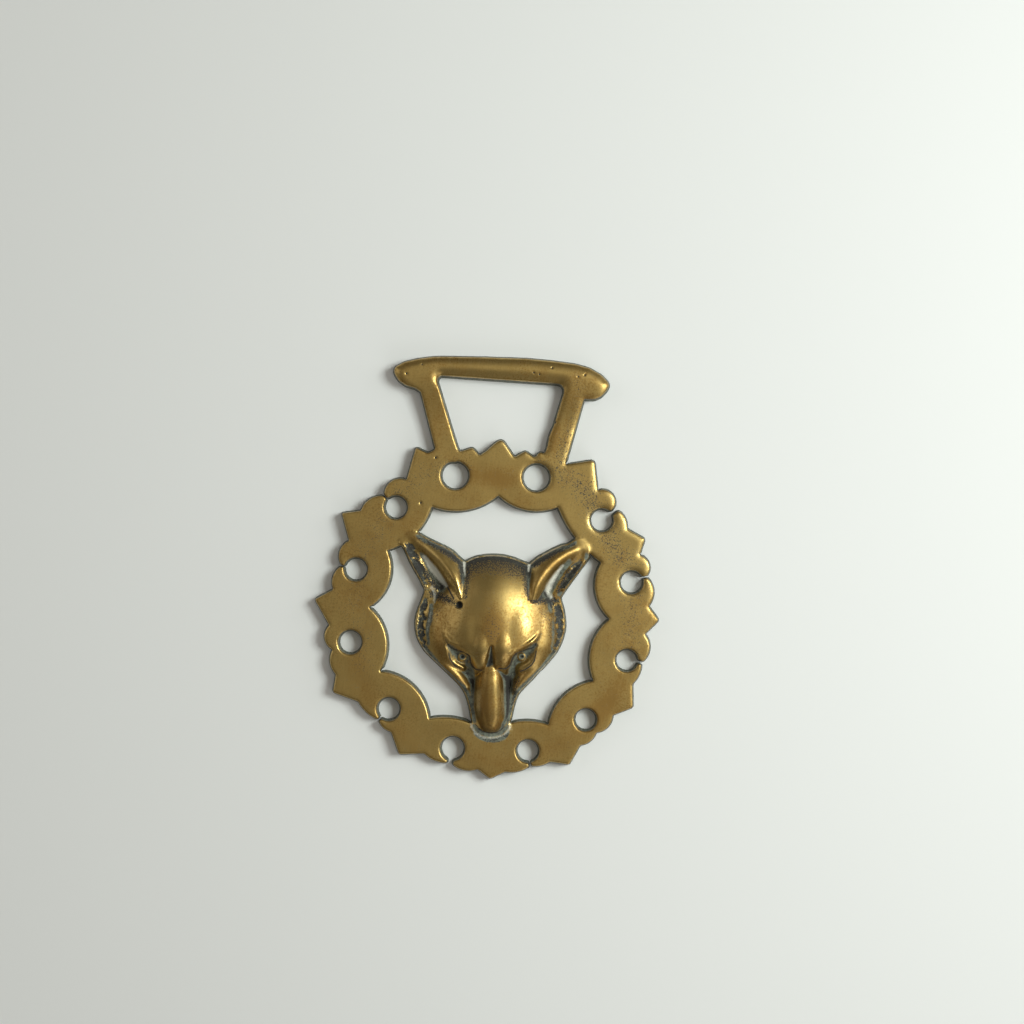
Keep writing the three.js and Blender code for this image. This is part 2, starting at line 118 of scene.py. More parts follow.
HEAD = [(-20.5, 17), (-20.5, 13.8), (-19.5, 13), (-18, 10), (-17, 8.3), (-16, 6.8), (-15, 5), (-14.5, 4.2),
        (-14.7, 3.2), (-15.1, 2), (-15.6, 0.6), (-16.1, -1.1), (-16.3, -2.7), (-16.1, -4.5), (-15.7, -6),
        (-15, -7.3), (-14, -8.7), (-12.6, -10), (-11, -11.4), (-9.4, -12.8), (-7.9, -14.1), (-6.8, -15.1),
        (-5.8, -16.2), (-5, -17.4), (-4.5, -18.7), (-4, -20.3), (-3.6, -22), (-3.4, -23.5), (-3.2, -25.2),
        (-2.6, -26.3), (-1.6, -27), (0, -27.5), (1.6, -27.5), (3.2, -27.2), (4.3, -26.4), (4.8, -25.2),
        (4.6, -23.4), (4.8, -21.8), (5.1, -20), (5.5, -18.3), (6.1, -16.8), (7, -15.7), (8.1, -14.5),
        (9.1, -13.4), (10.1, -12.1), (11.3, -10.9), (12.6, -9.2), (13.6, -7.9), (14.4, -6.3), (14.9, -4.8),
        (15.3, -3), (15.3, -1.6), (15.1, -0.2), (14.8, 1.2), (14.3, 2.7), (14, 3.7), (14.8, 5.2),
        (15.6, 6.4), (16.6, 7.9), (17.6, 9.4), (18.6, 10.9), (19.8, 12.6), (19.8, 17), (16.9, 16.5),
        (16, 15.7), (15, 15.1), (14, 14.9), (12, 13.9), (10, 12.7), (9, 12.1), (8, 11.2), (7.25, 10.45),
        (5.5, 11.05), (4, 11.6), (2, 12.05), (0, 12.15), (-2, 12), (-4, 11.6), (-5.5, 10.9), (-6.3, 10.3),
        (-7, 10.7), (-8, 11.5), (-9.2, 12.6), (-11, 13.5), (-13, 14.3), (-15, 15.2), (-17.1, 16.4)]

# ---- the head's forms, in millimetres
FLOOR = 2.9
# Domes: half-widths (and the one below the middle, where it differs), height of the foot over the back,
# rise above it, fillet round the foot, and the places.
SKULL = dict(size=(13.6, 18.4), below=7.6, foot=1.9, rise=7.1, fillet=1.0, places=[(0, -6)])
KNOBS = dict(size=(2.3, 4.8), foot=5.1, rise=3.6, fillet=1.3, places=[(-2.2, -7.3), (2.4, -6.9)])
EYES = dict(size=(1.1, 1.1), foot=4.9, rise=0.9, fillet=0.1, places=[(-6, -9.4), (6.4, -8.8)])
# Soft swellings and hollows of what is there: middle, half-widths and rise.
SWELLS = [((0.2, 5), (5, 9), 0.2), ((-6.9, -2.6), (3.6, 4.4), 0.2), ((7, -3), (3.6, 5.5), 0.3),
          ((-3.2, -4.6), (2.2, 2.6), -0.1)]
# The thin edges over the eyes, raised, so with a negative depth: stations of (x, y, depth, half-width).
BROWS = [
    [(-4.2, -9, -0.2, 0.7), (-6.6, -7.8, -0.35, 0.7), (-9.2, -5.6, -0.3, 0.6), (-10, -4.4, -0.1, 0.5)],
    [(4.3, -8.2, -0.2, 0.7), (6.8, -6.9, -0.4, 0.6), (9, -5, -0.4, 0.5), (9.9, -3.6, -0.1, 0.4)],
]
# Ridges: how far the round drops, the fillet beside it, and stations of (x, y, height of the crest,
# half-width).
CHEEKS = dict(drop=1.0, fillet=1.6, lines=[
    [(-11.7, -1, 5, 1.7), (-11.2, -6, 5.4, 1.8), (-9.7, -10.6, 5.5, 1.6), (-7, -13.4, 5.2, 1.3),
     (-4.9, -15.8, 4.6, 0.9)],
    [(11.2, -1, 5, 1.7), (10.8, -6, 5.4, 1.8), (9.2, -10.4, 5.5, 1.6), (7, -13.4, 5.2, 1.3),
     (5.6, -15.7, 4.6, 0.9)],
])
MUZZLE = dict(drop=1.8, fillet=0.3, power=3, lines=[
    [(0.1, -11.9, 6.9, 2.0), (0.15, -14, 7.4, 2.4), (0.4, -18, 7.2, 2.5), (0.65, -21, 6.9, 2.4),
     (0.7, -22.8, 6.4, 2.0)],
])
EARS = dict(drop=1.5, fillet=0.8, lines=[
    [(-6.9, 3.1, 7.0, 0.8), (-8.1, 6.6, 7.0, 1.5), (-10, 9.6, 6.2, 2.0), (-12.8, 12.2, 5.1, 2.1),
     (-18.5, 16, 2.6, 1.8)],
    [(8.2, 3.2, 6.8, 1.1), (9.0, 6.6, 6.9, 1.6), (11.1, 10, 6.1, 1.9), (14.4, 12.8, 4.9, 1.8),
     (18.8, 15, 2.6, 1.8)],
])
FOLDS = dict(drop=0.7, fillet=0.5, lines=[
    [(-19.6, 13.6, 3, 0.8), (-17, 9, 3.6, 0.8), (-15, 5, 3.6, 0.8)],
    [(19, 12.4, 3, 0.8), (17, 9.2, 3.6, 0.8), (14.9, 5.8, 3.6, 0.8)],
])
LIDS = dict(drop=0.3, fillet=0.1, lines=[
    [(-8.5, -9.3, 5.5, 0.3), (-7.9, -10.5, 5.5, 0.45), (-6.9, -11.2, 5.4, 0.45), (-5.8, -11.7, 5.2, 0.35)],
    [(8.8, -7.9, 5.5, 0.3), (8.6, -9.1, 5.5, 0.4), (8, -10.2, 5.4, 0.45), (6.3, -11.2, 5.2, 0.35)],
])
# Hollows: stations of (x, y, depth, half-width).
SOCKETS = [
    [(-8.9, -7.2, 0.8, 0.6), (-6.7, -9.2, 2.3, 1.5), (-4.6, -11.2, 2.3, 1.1), (-3.6, -15, 1.6, 0.8)],
    [(9, -6.4, 0.8, 0.6), (6.9, -8.6, 2.3, 1.5), (4.9, -10.9, 2.3, 1.1), (4.4, -15, 1.6, 0.8)],
]
EAR_HOLLOWS = [
    [(-15.6, 11.4, 0.3, 0.8), (-13.2, 8.4, 0.8, 1.1), (-10.8, 4.8, 0.8, 1.0)],
    [(15.4, 11.4, 0.3, 0.8), (13.3, 8.8, 0.8, 1.1), (11.5, 5.2, 0.8, 1.0)],
]
GROOVE = [(0, -7, 0.7, 0.4), (0, -9.6, 1.5, 0.8), (-0.1, -11, 1.3, 0.9)]
SINK_REACH = 1.6  # half-widths out to where a hollow ends
# The head's steep side: its height on the outline, and its further rise over this width.
RIM_HEIGHT, RIM_RISE, RIM_WIDTH = 2.4, 7.2, 2.6
HOLLOW = dict(at=(0, 0.5), size=(9.5, 9.5), depth=5.4)  # open at the back, behind the skull
PUPIL = (0.45, 0.5)  # radius and depth of the pit in each eye
EYE_RING = (0.75, 0.25)  # radius and half-width of the bare metal round it
# Single blemishes: place, radius and depth.
PITS = [(-7.1, 1.5, 0.8, 1.3), (-20.5, 49.6, 0.22, 0.15), (-17.3, 51.7, 0.18, 0.1), (6.3, 51, 0.2, 0.12),
        (7.5, 50.7, 0.2, 0.12), (10.1, 52.2, 0.2, 0.12), (17.1, 51, 0.24, 0.15), (15.7, 50.6, 0.2, 0.12),
        (-13.6, 32.2, 0.24, 0.15), (-16.3, 22.5, 0.24, 0.2), (11.3, 40.8, 0.3, 0.2)]

# ---- where dirt, fur and painted shade lie: (x, y, strength, half-width)
# Chased fur.
FUR = [
    [(-14.2, 3, 0.6, 1.9), (-15, 0, 0.68, 2.2), (-15.3, -3.2, 0.68, 2), (-14.7, -6.5, 0.6, 1.6)],
    [(13.4, 3, 0.6, 1.8), (14.1, 0, 0.68, 2.2), (14.4, -3, 0.68, 2), (13.9, -6.3, 0.6, 1.6)],
    [(-18.4, 12.8, 0.85, 1.9), (-16.6, 8.8, 0.95, 2.4), (-15, 5.5, 0.9, 2)],
    [(18.2, 11.2, 0.75, 1.7), (16.4, 8.8, 0.8, 2.1), (14.7, 6.2, 0.8, 1.7)],
]
# Punched dots on the head, and dots on the ring and the hanger. The faint broad line of dark dots on the
# middle of the forehead is painted shade.
STIPPLE_AND_SHADE = [
    [(-13, 3.4, 0.9, 1.8), (-10.5, 2.8, 0.85, 1.9), (-8.5, 2, 0.7, 1.3), (-6.5, 0.2, 0.25, 1)],
    [(12.3, 3.4, 0.9, 1.7), (10, 3, 0.8, 1.4), (8.2, 2.9, 0.8, 0.9)],
    [(10.2, 1.2, 0.35, 1.6), (12, -1.5, 0.45, 1.2), (12.2, -4.5, 0.35, 0.7)],
    [(-11.5, 0.6, 0.35, 1.5), (-12.3, -2, 0.3, 0.8)],
    # painted shade: faint dark dots that darken the middle of the forehead
    [(0.2, 0, 0.24, 3), (0.2, -2.5, 0.32, 3.6), (0.3, -5, 0.28, 3)],
    [(-5.7, 9.5, 0.95, 1.6), (-5.7, 6, 0.75, 1.3), (-5.9, 3, 0.6, 0.9)],
    [(6.3, 9.5, 0.95, 1.5), (6.5, 7, 0.75, 1.1), (6.8, 4, 0.6, 0.7)],
    [(-16.6, 15.2, 0.5, 0.7), (-11.8, 13, 0.9, 1.2), (-8.2, 11, 1, 1.3), (-7.2, 9, 0.8, 0.8),
     (-6.8, 5, 0.5, 0.5)],
    [(16.5, 15.3, 0.5, 0.7), (11.3, 12.6, 0.9, 1.1), (8.4, 10.6, 1, 1.1)],
    [(-12, 4.6, 0.9, 1.2), (-13.6, 6.4, 0.9, 1.2), (-15.4, 9, 0.8, 1.3), (-16.8, 11.6, 0.6, 1)],
    [(13.6, 5.2, 0.8, 0.9), (14.4, 7.2, 0.8, 1.1), (15.6, 9.6, 0.7, 1)],
    [(-15.2, 2, 0.35, 1), (-15.6, -2, 0.3, 1), (-15.2, -5, 0.35, 1), (-14, -8, 0.7, 0.9)],
    [(14.2, 2, 0.35, 1), (14.6, -2, 0.3, 1), (14.2, -5, 0.35, 1), (13, -8, 0.6, 0.8)],
    [(-5.2, -15.4, 0.5, 0.8), (-4.2, -20, 0.45, 0.7)],
    [(6, -13.4, 0.5, 1), (5.4, -16, 0.6, 0.9), (4.9, -20, 0.5, 0.8)],
    [(-2.6, -25.6, 0.5, 0.9), (0.7, -26.9, 0.6, 0.9), (4.1, -25.6, 0.5, 0.9)],
]
SPECKLED = [
    [(9, 31.5, 0.3, 4), (17, 28, 0.4, 5), (21, 22, 0.42, 5), (25, 15, 0.42, 5), (29, 8, 0.3, 5),
     (29, -8, 0.25, 5)],
    [(13, 33, 0.4, 3), (13.5, 37, 0.34, 2.4), (16, 46, 0.24, 2.4), (15, 51, 0.2, 2.4)],
    [(-8, 31, 0.2, 4), (-18, 27, 0.26, 5), (-24, 18, 0.24, 5), (-29, 4, 0.2, 5), (-27, -12, 0.2, 5)],
]
# Where the fur is combed, how far the combing turns from the level, and how far the tufts draw out.
COMBED = [
    [(-18.8, 12.8, 1, 2.4), (-14.8, 5.8, 1, 2.4)],
    [(18.8, 12.4, 1, 2.6), (14.6, 5.6, 1, 2.6)],
]
COMB_TURN = math.radians(27)
COMB_STRETCH = 0.3
# Dull film, black dirt, dried polish, browned metal that is mostly painted shade, and polished metal.
PATINA = [
    [(-4.6, -10.8, 0.8, 1), (-3.9, -12.5, 1, 1.1), (-3.7, -15.5, 0.9, 0.9), (-3.5, -19, 0.8, 0.8),
     (-3.2, -23, 0.7, 0.6)],
    [(4.8, -10.3, 0.8, 1), (4.4, -12.5, 1, 1.2), (4.4, -16, 0.9, 1), (4.5, -20, 0.8, 0.8),
     (4.2, -23.4, 0.7, 0.6)],
    [(-8.9, -7.2, 0.9, 0.9), (-7.2, -8.9, 1, 1.7), (-5.2, -9.8, 1, 1.7)],
    [(9.1, -6.2, 0.9, 0.9), (7.2, -8.3, 1, 1.7), (5.6, -9.2, 1, 1.7)],
    [(-15.8, 11.6, 0.9, 1), (-13.4, 8.3, 1, 1.5), (-11, 4.6, 1, 1.5)],
    [(15.6, 11.6, 0.9, 1), (13.6, 8.8, 1, 1.5), (11.6, 5, 1, 1.5)],
    [(-13.3, 1, 1.3, 1.1), (-13.3, -1.5, 1.3, 1.1), (-13.8, -4.4, 1.3, 1), (-13.4, -7, 1, 0.8)],
    [(12.9, 1, 1.1, 1), (13.2, -4, 1.2, 1), (12.9, -7, 1, 0.8)],
    [(-3.2, -25, 1.2, 0.8), (-1.6, -26.4, 1.2, 0.9), (0.6, -26.9, 1.2, 0.9), (3.2, -26.3, 1.2, 0.9),
     (4.6, -25, 1.1, 0.8)],
    [(-3, -24, 1, 0.7), (-1.6, -25.2, 1.2, 0.8), (0.6, -25.8, 1.2, 0.8), (2.8, -25.2, 1.2, 0.8),
     (4, -24, 1, 0.7)],
]
CREVICES = [
    [(-9.6, -5.9, 0.7, 0.3), (-8.6, -7.5, 0.8, 0.35), (-6.5, -8.2, 0.8, 0.4), (-4.6, -9, 0.9, 0.4),
     (-4.2, -10.6, 1, 0.4), (-3.2, -11.8, 1, 0.35), (-1.8, -12, 1, 0.3)],
    [(9.6, -5, 0.7, 0.3), (8.9, -6.6, 0.8, 0.35), (7.4, -7.2, 0.8, 0.4), (5.2, -8.2, 0.9, 0.4),
     (4.5, -9.4, 1, 0.4), (4.1, -10.6, 1, 0.35), (3.2, -11.4, 1, 0.35), (1.8, -11.4, 1, 0.3)],
    [(-6, -9.4, 1, 0.55), (-5.9, -9.4, 1, 0.55)],
    [(6.4, -8.8, 1, 0.55), (6.5, -8.8, 1, 0.55)],
    [(0, -6.8, 0.7, 0.25), (0, -8.5, 0.9, 0.35), (-0.1, -9.6, 1, 0.55), (-0.3, -10.8, 1, 0.9)],
    [(-8.9, -8.6, 0.8, 0.3), (-8.5, -10, 1, 0.3), (-7.5, -11.3, 1, 0.3), (-6.3, -12, 0.9, 0.3)],
    [(9.4, -7.5, 0.8, 0.3), (9.2, -9.2, 1, 0.3), (8.6, -10.4, 1, 0.3), (7.4, -11.4, 1, 0.3),
     (6.4, -11.9, 0.9, 0.3)],
    [(-14.8, 11.6, 0.7, 0.3), (-12.8, 9.2, 0.8, 0.3), (-10.6, 6.3, 0.9, 0.35), (-8.4, 2.8, 1, 0.4)],
    [(6.9, 8.5, 0.7, 0.35), (6.9, 6, 0.8, 0.35), (7.3, 3.2, 0.9, 0.4)],
    [(10.4, 5.2, 0.6, 0.35), (9.6, 3.3, 0.8, 0.4), (8.3, 2.6, 0.9, 0.35)],
    [(-2.3, -26.9, 1, 0.35), (0.6, -27.5, 1, 0.4), (3.6, -27, 1, 0.35)],
    [(-2.7, -23.6, 0.7, 0.3), (-1.4, -24.8, 0.8, 0.3), (0.6, -25.3, 0.9, 0.3), (2.4, -24.9, 0.8, 0.3),
     (3.5, -23.8, 0.7, 0.3)],
]
RESIDUE = [
    [(-6.5, 10.5, 1.4, 0.6), (-6.4, 9, 1.2, 0.5), (-6.2, 7.6, 0.7, 0.35)],
    [(7.2, 10.6, 1.4, 0.6), (7.1, 9.2, 1.1, 0.4)],
    [(-15, 11.2, 1.1, 0.8), (-13.1, 8.8, 1.7, 1.2), (-11.5, 6.9, 1.5, 1.2), (-10.2, 5.4, 0.9, 0.9)],
    [(14.2, 10.7, 0.9, 0.6), (13, 8.9, 1.1, 0.9), (11.7, 6.6, 1.1, 1.3), (11.4, 5.2, 1, 1.2),
     (12.2, 3.8, 0.8, 0.9)],
    [(-14.6, 4.5, 0.6, 0.9), (-13.2, 4.7, 0.75, 0.9), (-12.6, 3.4, 0.5, 0.8), (-12.5, 1.6, 0.4, 0.6)],
    [(-13.2, 1.4, 0.4, 0.6), (-13.3, -1.6, 0.5, 0.7), (-13.6, -3.4, 0.45, 0.6), (-13.8, -5.6, 0.4, 0.5)],
    [(12.9, 1.4, 0.45, 0.6), (13.1, -2, 0.5, 0.6), (13, -5, 0.5, 0.5)],
    [(-14.4, -8, 0.8, 0.4), (-12.9, -9.9, 0.8, 0.4), (-11.1, -11.5, 0.7, 0.4)],
    [(14, -7.4, 0.8, 0.4), (12.3, -9.8, 0.9, 0.4), (10.4, -11.9, 0.8, 0.4), (8, -14.8, 0.8, 0.4),
     (6.4, -16.5, 0.7, 0.4)],
    [(-3.6, -23.6, 0.8, 0.5), (-2.7, -25.3, 0.6, 0.6), (-1.5, -26.1, 0.6, 0.6), (0.3, -26.4, 0.6, 0.55),
     (2.6, -26, 0.6, 0.6), (4.3, -24.7, 0.7, 0.6), (4.7, -23.2, 0.7, 0.5)],
]
# Browned metal: only the first line, at the foot of the right leg, is real tarnish; the others are painted
# shade that darkens the middle of the forehead, the ears, the muzzle's left side, the cheeks, and stretches
# of the ring and the left leg.
TARNISH_AND_SHADE = [
    [(11.8, 39.5, 0.9, 1.8), (11.2, 35, 0.8, 1.8)],
    [(0, 1, 0.7, 4), (0.2, -2.5, 1.2, 5.5), (0.3, -5.2, 1, 3.6)],
    [(8.6, 4.8, 0.7, 1.4), (10.5, 9.2, 0.9, 1.7), (14, 12.3, 0.8, 1.7), (18.5, 15, 0.4, 1.6)],
    [(-0.6, -12.5, 0.7, 3.2), (-0.6, -18, 1, 3.2), (-0.2, -24, 0.8, 3.2)],
    [(-11.4, -3, 0.6, 2.4), (-10.8, -8, 0.9, 2.6), (-8, -12.5, 1, 2.6), (-5.2, -15.4, 1, 1.8)],
    [(-11.8, 8.2, 0.6, 1.6), (-9.2, 4.6, 0.8, 1.6)],
    [(8.2, -12.2, 0.6, 2), (6, -14.6, 0.7, 1.6)],
    [(-9, 29.5, 0.7, 5), (0, 28.5, 1.1, 5), (6, 29, 0.5, 5)],
    [(-29, -6, 0.5, 5), (-28, -12, 0.8, 5), (-24, -21, 0.7, 5), (-15, -29, 0.5, 5)],
    [(29, -10, 0.4, 4), (24, -19, 1.1, 5), (17, -26, 0.7, 5), (6, -31, 0.6, 5), (-3, -31, 0.5, 5)],
    [(-13, 40, 0.6, 3), (-17, 49, 0.3, 3)],
]
POLISHED = [
    [(5.2, 5, 0.6, 3.5), (7, 1, 1, 5), (7.6, -4, 0.9, 4)],
    [(-7, 3.4, 0.9, 1.4), (-8.2, 6.6, 0.9, 1.6), (-10, 9.4, 0.6, 1.6)],
    [(-2.4, -8.6, 0.6, 1.8), (-2.3, -8.6, 0.6, 1.8)],
    [(2.6, -8.2, 0.8, 1.8), (2.7, -8.2, 0.8, 1.8)],
    [(2, -14, 0.5, 1.8), (2.4, -21, 0.5, 1.8)],
]

# ---- how finely and how softly the mesh is made
EDGE_STEP, EDGE_SOFTENING = 0.26, 2  # spacing of the outline's points, and passes that soften its corners
LEAST_STEPS = 3  # on an arc
SLIT_END = 38.0  # past the rim
CLOSE = 1e-6  # places nearer than this are one
BETWEEN = 8  # steps from one station of a line to the next
HEAD_STEP, PLATE_STEP = 0.155, 0.5
ROUND_ROWS, ROW_CLEAR = (0.04, 0.1, 0.18, 0.28, 0.4), 0.9  # distances of the rows beside the outline
EDGE_ROUND, EDGE_DROP = 0.38, 0.32  # width and drop of the worn edge
LIT_SIDE, WORN_BAND, WORN = (0.75, 0.65), (20.0, 32.0), 2.2  # towards here the rim is worn rounder
BAR_ROUND, BAR_FALL, BAR_BAND = 1.5, 0.9, (46.5, 50.5)  # added to the edge's width and drop on the bar
RISE_BAND = (39.0, 50.0)  # from here up the legs thicken, until they are as thick as the bar
FRAME_FILLET, RUN_OUT = 0.8, 0.25  # where the ears and the nose run out on the ring
ROOM_STEPS, ROOM_CLEAR = (0.2, 0.4, 0.6, 0.9, 1.3), 0.75
DRAFT_SHARE = 0.4  # of the free room, the most that a side leans into
WALL_PARTS = (0.25, 0.5, 0.75, 1.0)
BACK_CHAMFER = 0.2
BACK_STEP = 1.3
HOLLOW_SIDES = 60
HOLLOW_RINGS = (1, 0.985, 0.95, 0.9, 0.82, 0.72, 0.6, 0.46, 0.3, 0.15)
PIT_SIDES, PIT_RINGS, PIT_CLEAR = 8, (0.45, 0.8, 1.1), 1.6

# ---- how the masks fall, in millimetres
HEAD_FADE = 0.3  # the head's masks fade in over this distance from its outline
CROWN_BAND, CROWN_MIDDLE, CROWN_REACH = (5.5, 8.5), 0.4, 7.2  # the punched top of the forehead
CROWN_FULL, CROWN_FUR = 0.98, 6.5  # how dense it is at the edge, and how far in it thins out
LOW_REACH, LOW_STEP, LOW_MARGIN = 2.0, 0.25, 0.5  # a place is low beside the mean height this far round
LOW_PATINA, LOW_CREVICE = (0.1, 0.55), (0.35, 0.9)  # how low it is where dirt starts and where it is full
SIDE_TOP, SIDE_FADE, SIDE_REACH = 3.2, 1.2, (0.5, 1.3)  # the patina up the head's steep sides
OFF_RING = (-0.2, 1)  # and it keeps this far off the ring
PIT_EDGE, PIT_FADE = 1.15, 0.5
RING_BARE = 0.8  # how much of the patina is off the ring round the eye
# How strong the patina and the black dirt are on the sides. The dirt there also paints the sides darker, as
# shade.
WALL_PATINA, WALL_DIRT_AND_SHADE = 0.8, 0.32


# ---- plane geometry
def polar(turn, reach):
    angle = math.radians(turn)
    return np.array((reach * math.cos(angle), reach * math.sin(angle)))


RING_CENTRE = np.array((LOW[0], LOW[1])) / MM - (polar(*LEFT_POINT)[0], polar(*LOW_POINT)[1])
VIEW_OFF, FACE_LEVEL = (3.04, 21.46), 3.0  # what the camera looks at, from the ring's centre, and how high


def on_circle(angles):
    return np.stack((np.cos(angles), np.sin(angles)), axis=1)


def round_points(sides):
    return on_circle(np.linspace(0, 2 * math.pi, sides, endpoint=False))


def arc_through(start, via, end, step):
    """Points after start up to end, a step apart, on the circle through all three."""
    a, b, c = start @ start, via @ via, end @ end
    twice = 2 * (start[0] * (via[1] - end[1]) + via[0] * (end[1] - start[1]) + end[0] * (start[1] - via[1]))
    centre = np.array((
        a * (via[1] - end[1]) + b * (end[1] - start[1]) + c * (start[1] - via[1]),
        a * (end[0] - via[0]) + b * (start[0] - end[0]) + c * (via[0] - start[0]),
    )) / twice
    first, last = (math.atan2(*(p - centre)[::-1]) for p in (start, end))
    sweep = (last - first) % (2 * math.pi) - (0 if twice > 0 else 2 * math.pi)
    radius = np.linalg.norm(start - centre)
    count = max(int(abs(sweep) * radius / step), LEAST_STEPS)
    return list(centre + radius * on_circle(first + sweep * np.arange(1, count + 1) / count))


def resampled(loop, step):
    """The closed loop again, with its points an even step apart."""
    closed = np.vstack((loop, loop[:1]))
    walked = np.concatenate(([0], np.cumsum(np.linalg.norm(np.diff(closed, axis=0), axis=1))))
    places = np.linspace(0, walked[-1], int(round(walked[-1] / step)), endpoint=False)
    return np.stack([np.interp(places, walked, closed[:, axis]) for axis in (0, 1)], axis=1)


def softened(loop, passes):
    """Takes the sharpness off a loop's corners."""
    for _ in range(passes):
        loop = 0.5 * loop + 0.25 * (np.roll(loop, 1, axis=0) + np.roll(loop, -1, axis=0))
    return loop


def outward(loop):
    """Unit normals that point away from the metal, which lies to the left of the loop."""
    along = np.roll(loop, -1, axis=0) - np.roll(loop, 1, axis=0)
    normals = np.stack((along[:, 1], -along[:, 0]), axis=1)
    return normals / np.linalg.norm(normals, axis=1, keepdims=True)


def inside(points, loop):
    loop = np.asarray(loop, dtype=float)
    x, y = points[:, 0], points[:, 1]
    within = np.zeros(len(points), dtype=bool)
    for (x0, y0), (x1, y1) in zip(loop, np.roll(loop, -1, axis=0)):
        if y0 != y1:
            within ^= ((y0 > y) != (y1 > y)) & (x < x0 + (x1 - x0) * (y - y0) / (y1 - y0))
    return within


def off_line(points, start, end):
    """How far along the line from start to end each point lies, from 0 to 1, and how far off it."""
    side = end - start
    along = np.clip((points - start) @ side / (side @ side), 0, 1)
    return along, np.linalg.norm(points - start - along[:, None] * side, axis=1)


def inset(points, loop):
    """Distance inside a loop, negative outside it."""
    loop = np.asarray(loop, dtype=float)
    gap = np.full(len(points), np.inf)
    for start, end in zip(loop, np.roll(loop, -1, axis=0)):
        gap = np.minimum(gap, off_line(points, start, end)[1])
    return np.where(inside(points, loop), gap, -gap)


def off_spot(points, spot):
    return np.linalg.norm(points - spot, axis=1)


def off_oval(points, middle, size):
    """How far each point lies from an oval's middle: 1 on the oval."""
    return np.hypot(*((points - middle) / size).T)


def bowl(reach):
    """1 in the middle of a round form, falling to 0 where reach is 1."""
    return np.clip(1 - reach ** 2, 0, 1)


def square_grid(low, high, across, up):
    return np.meshgrid(np.arange(low[0], high[0], across), np.arange(low[1], high[1], up))


# ---- outlines of the casting
def rim_loop():
    rim = []
    foot = polar(*SCALLOPS[-1]["feet"][1])
    for scallop in SCALLOPS:
        mouth = polar(*scallop["mouth"])
        before, after = (polar(*crest) for crest in scallop["crests"])
        near, far = (polar(*place) for place in scallop["feet"])
        rim += arc_through(foot, before, mouth, EDGE_STEP)
        rim += arc_through(mouth, after, near, EDGE_STEP)
        if scallop["point"]:
            rim += [polar(*scallop["point"]), far]
            foot = far
        else:
            foot = polar(*TOP_FOOT)
            rim += [np.array(place, dtype=float) for place in TOP_EDGE] + [foot]
    return np.array(rim)


def window_loop():
    window = []
    for cusp, bulge, following in zip(CUSPS, BULGES, CUSPS[1:] + CUSPS[:1]):
        window += arc_through(polar(*cusp), polar(*bulge), polar(*following), EDGE_STEP)
    return np.array(window)


def hole_loop(turn, reach, radius):
    return polar(turn, reach) + radius * round_points(int(2 * math.pi * radius / EDGE_STEP))


def slit_loop(scallop):
    """The narrow cut from a hole's middle out past the rim."""
    turn, width = scallop["slit"]
    out = polar(turn, 1)
    across = np.array((-out[1], out[0])) * width / 2
    start, end = out * scallop["hole"][1], out * SLIT_END
    return np.array((start - across, end - across, end + across, start + across))


def loop_edges(loops):
    """Pairs of numbers for the edges of the loops, whose points are numbered on from loop to loop."""
    edges, first = [], 0
    for loop in loops:
        edges += [(first + i, first + (i + 1) % len(loop)) for i in range(len(loop))]
        first += len(loop)
    return edges


def casting_loops():
    """The loops that bound the whole casting, with the metal always to their left."""
    rim, window = rim_loop(), window_loop()
    cuts = [hole_loop(*hole) for hole in [scallop["hole"] for scallop in SCALLOPS] + LEG_HOLES]
    cuts += [slit_loop(scallop) for scallop in SCALLOPS if scallop["slit"][1] > 0]
    solids = [np.array(loop, dtype=float) for loop in LEGS + [BAR, HEAD]]
    loops = [rim, window] + cuts + solids
    points = [Vector(place) for loop in loops for place in loop]
    places, _, faces, *_ = delaunay_2d_cdt(points, loop_edges(loops), [], 0, CLOSE, False)
    places = np.array([tuple(place) for place in places])
    faces = np.array(faces)
    middles = places[faces].mean(axis=1)
    metal = inside(middles, rim) & ~inside(middles, window)
    for cut in cuts:
        metal &= ~inside(middles, cut)
    for solid in solids:
        metal |= inside(middles, solid)
    return chained(places, faces[metal])


def chained(places, faces):
    """The loops round a set of triangles."""
    edges = {(a, b) for face in faces.tolist() for a, b in zip(face, face[1:] + face[:1])}
    following = {a: b for a, b in edges if (b, a) not in edges}
    loops = []
    while following:
        start, here = following.popitem()
        loop = [start]
        while here != start:
            loop.append(here)
            here = following.pop(here)
        loops.append(places[loop])
    return loops


def in_frame(points):
    """Which points lie on the ring, the legs or the bar, and not only on the head."""
    metal = inside(points, rim_loop()) & ~inside(points, window_loop())
    for solid in LEGS + [BAR]:
        metal |= inside(points, solid)
    return metal


# ---- height of the casting's face
def blend(a, b, fillet):
    """The larger of two heights, with a fillet where they cross."""
    near = np.clip(fillet - np.abs(a - b), 0, None) / fillet
    return np.maximum(a, b) + near * near * fillet / 4


def smooth(value, low, high):
    part = np.clip((value - low) / (high - low), 0, 1)
    return part * part * (3 - 2 * part)


def add_domes(height, points, form):
    for place in form["places"]:
        x, y = ((points - place) / form["size"]).T
        reach = np.hypot(x, np.where(y < 0, y * form["size"][1] / form.get("below", form["size"][1]), y))
        rise = form["rise"] * np.where(reach < 1, np.sqrt(bowl(reach)), 1 - reach)
        height = blend(height, form["foot"] + rise, form["fillet"])
    return height


def curved(line):
    """The stations of a line with more between them, on a smooth curve through them all."""
    stations = np.array(line, dtype=float)
    before = np.vstack((2 * stations[:1] - stations[1:2], stations[:-1]))
    after = np.vstack((stations[1:], 2 * stations[-1:] - stations[-2:-1]))
    pull = (after - before) / 2
    parts = []
    for part in np.arange(BETWEEN) / BETWEEN:
        a, b = part ** 2 * (3 - 2 * part), part * (1 - part)
        parts.append(stations[:-1] * (1 - a) + stations[1:] * a + pull[:-1] * b * (1 - part)
                     - pull[1:] * b * part)
    return np.vstack((np.stack(parts, axis=1).reshape(-1, stations.shape[1]), stations[-1:]))


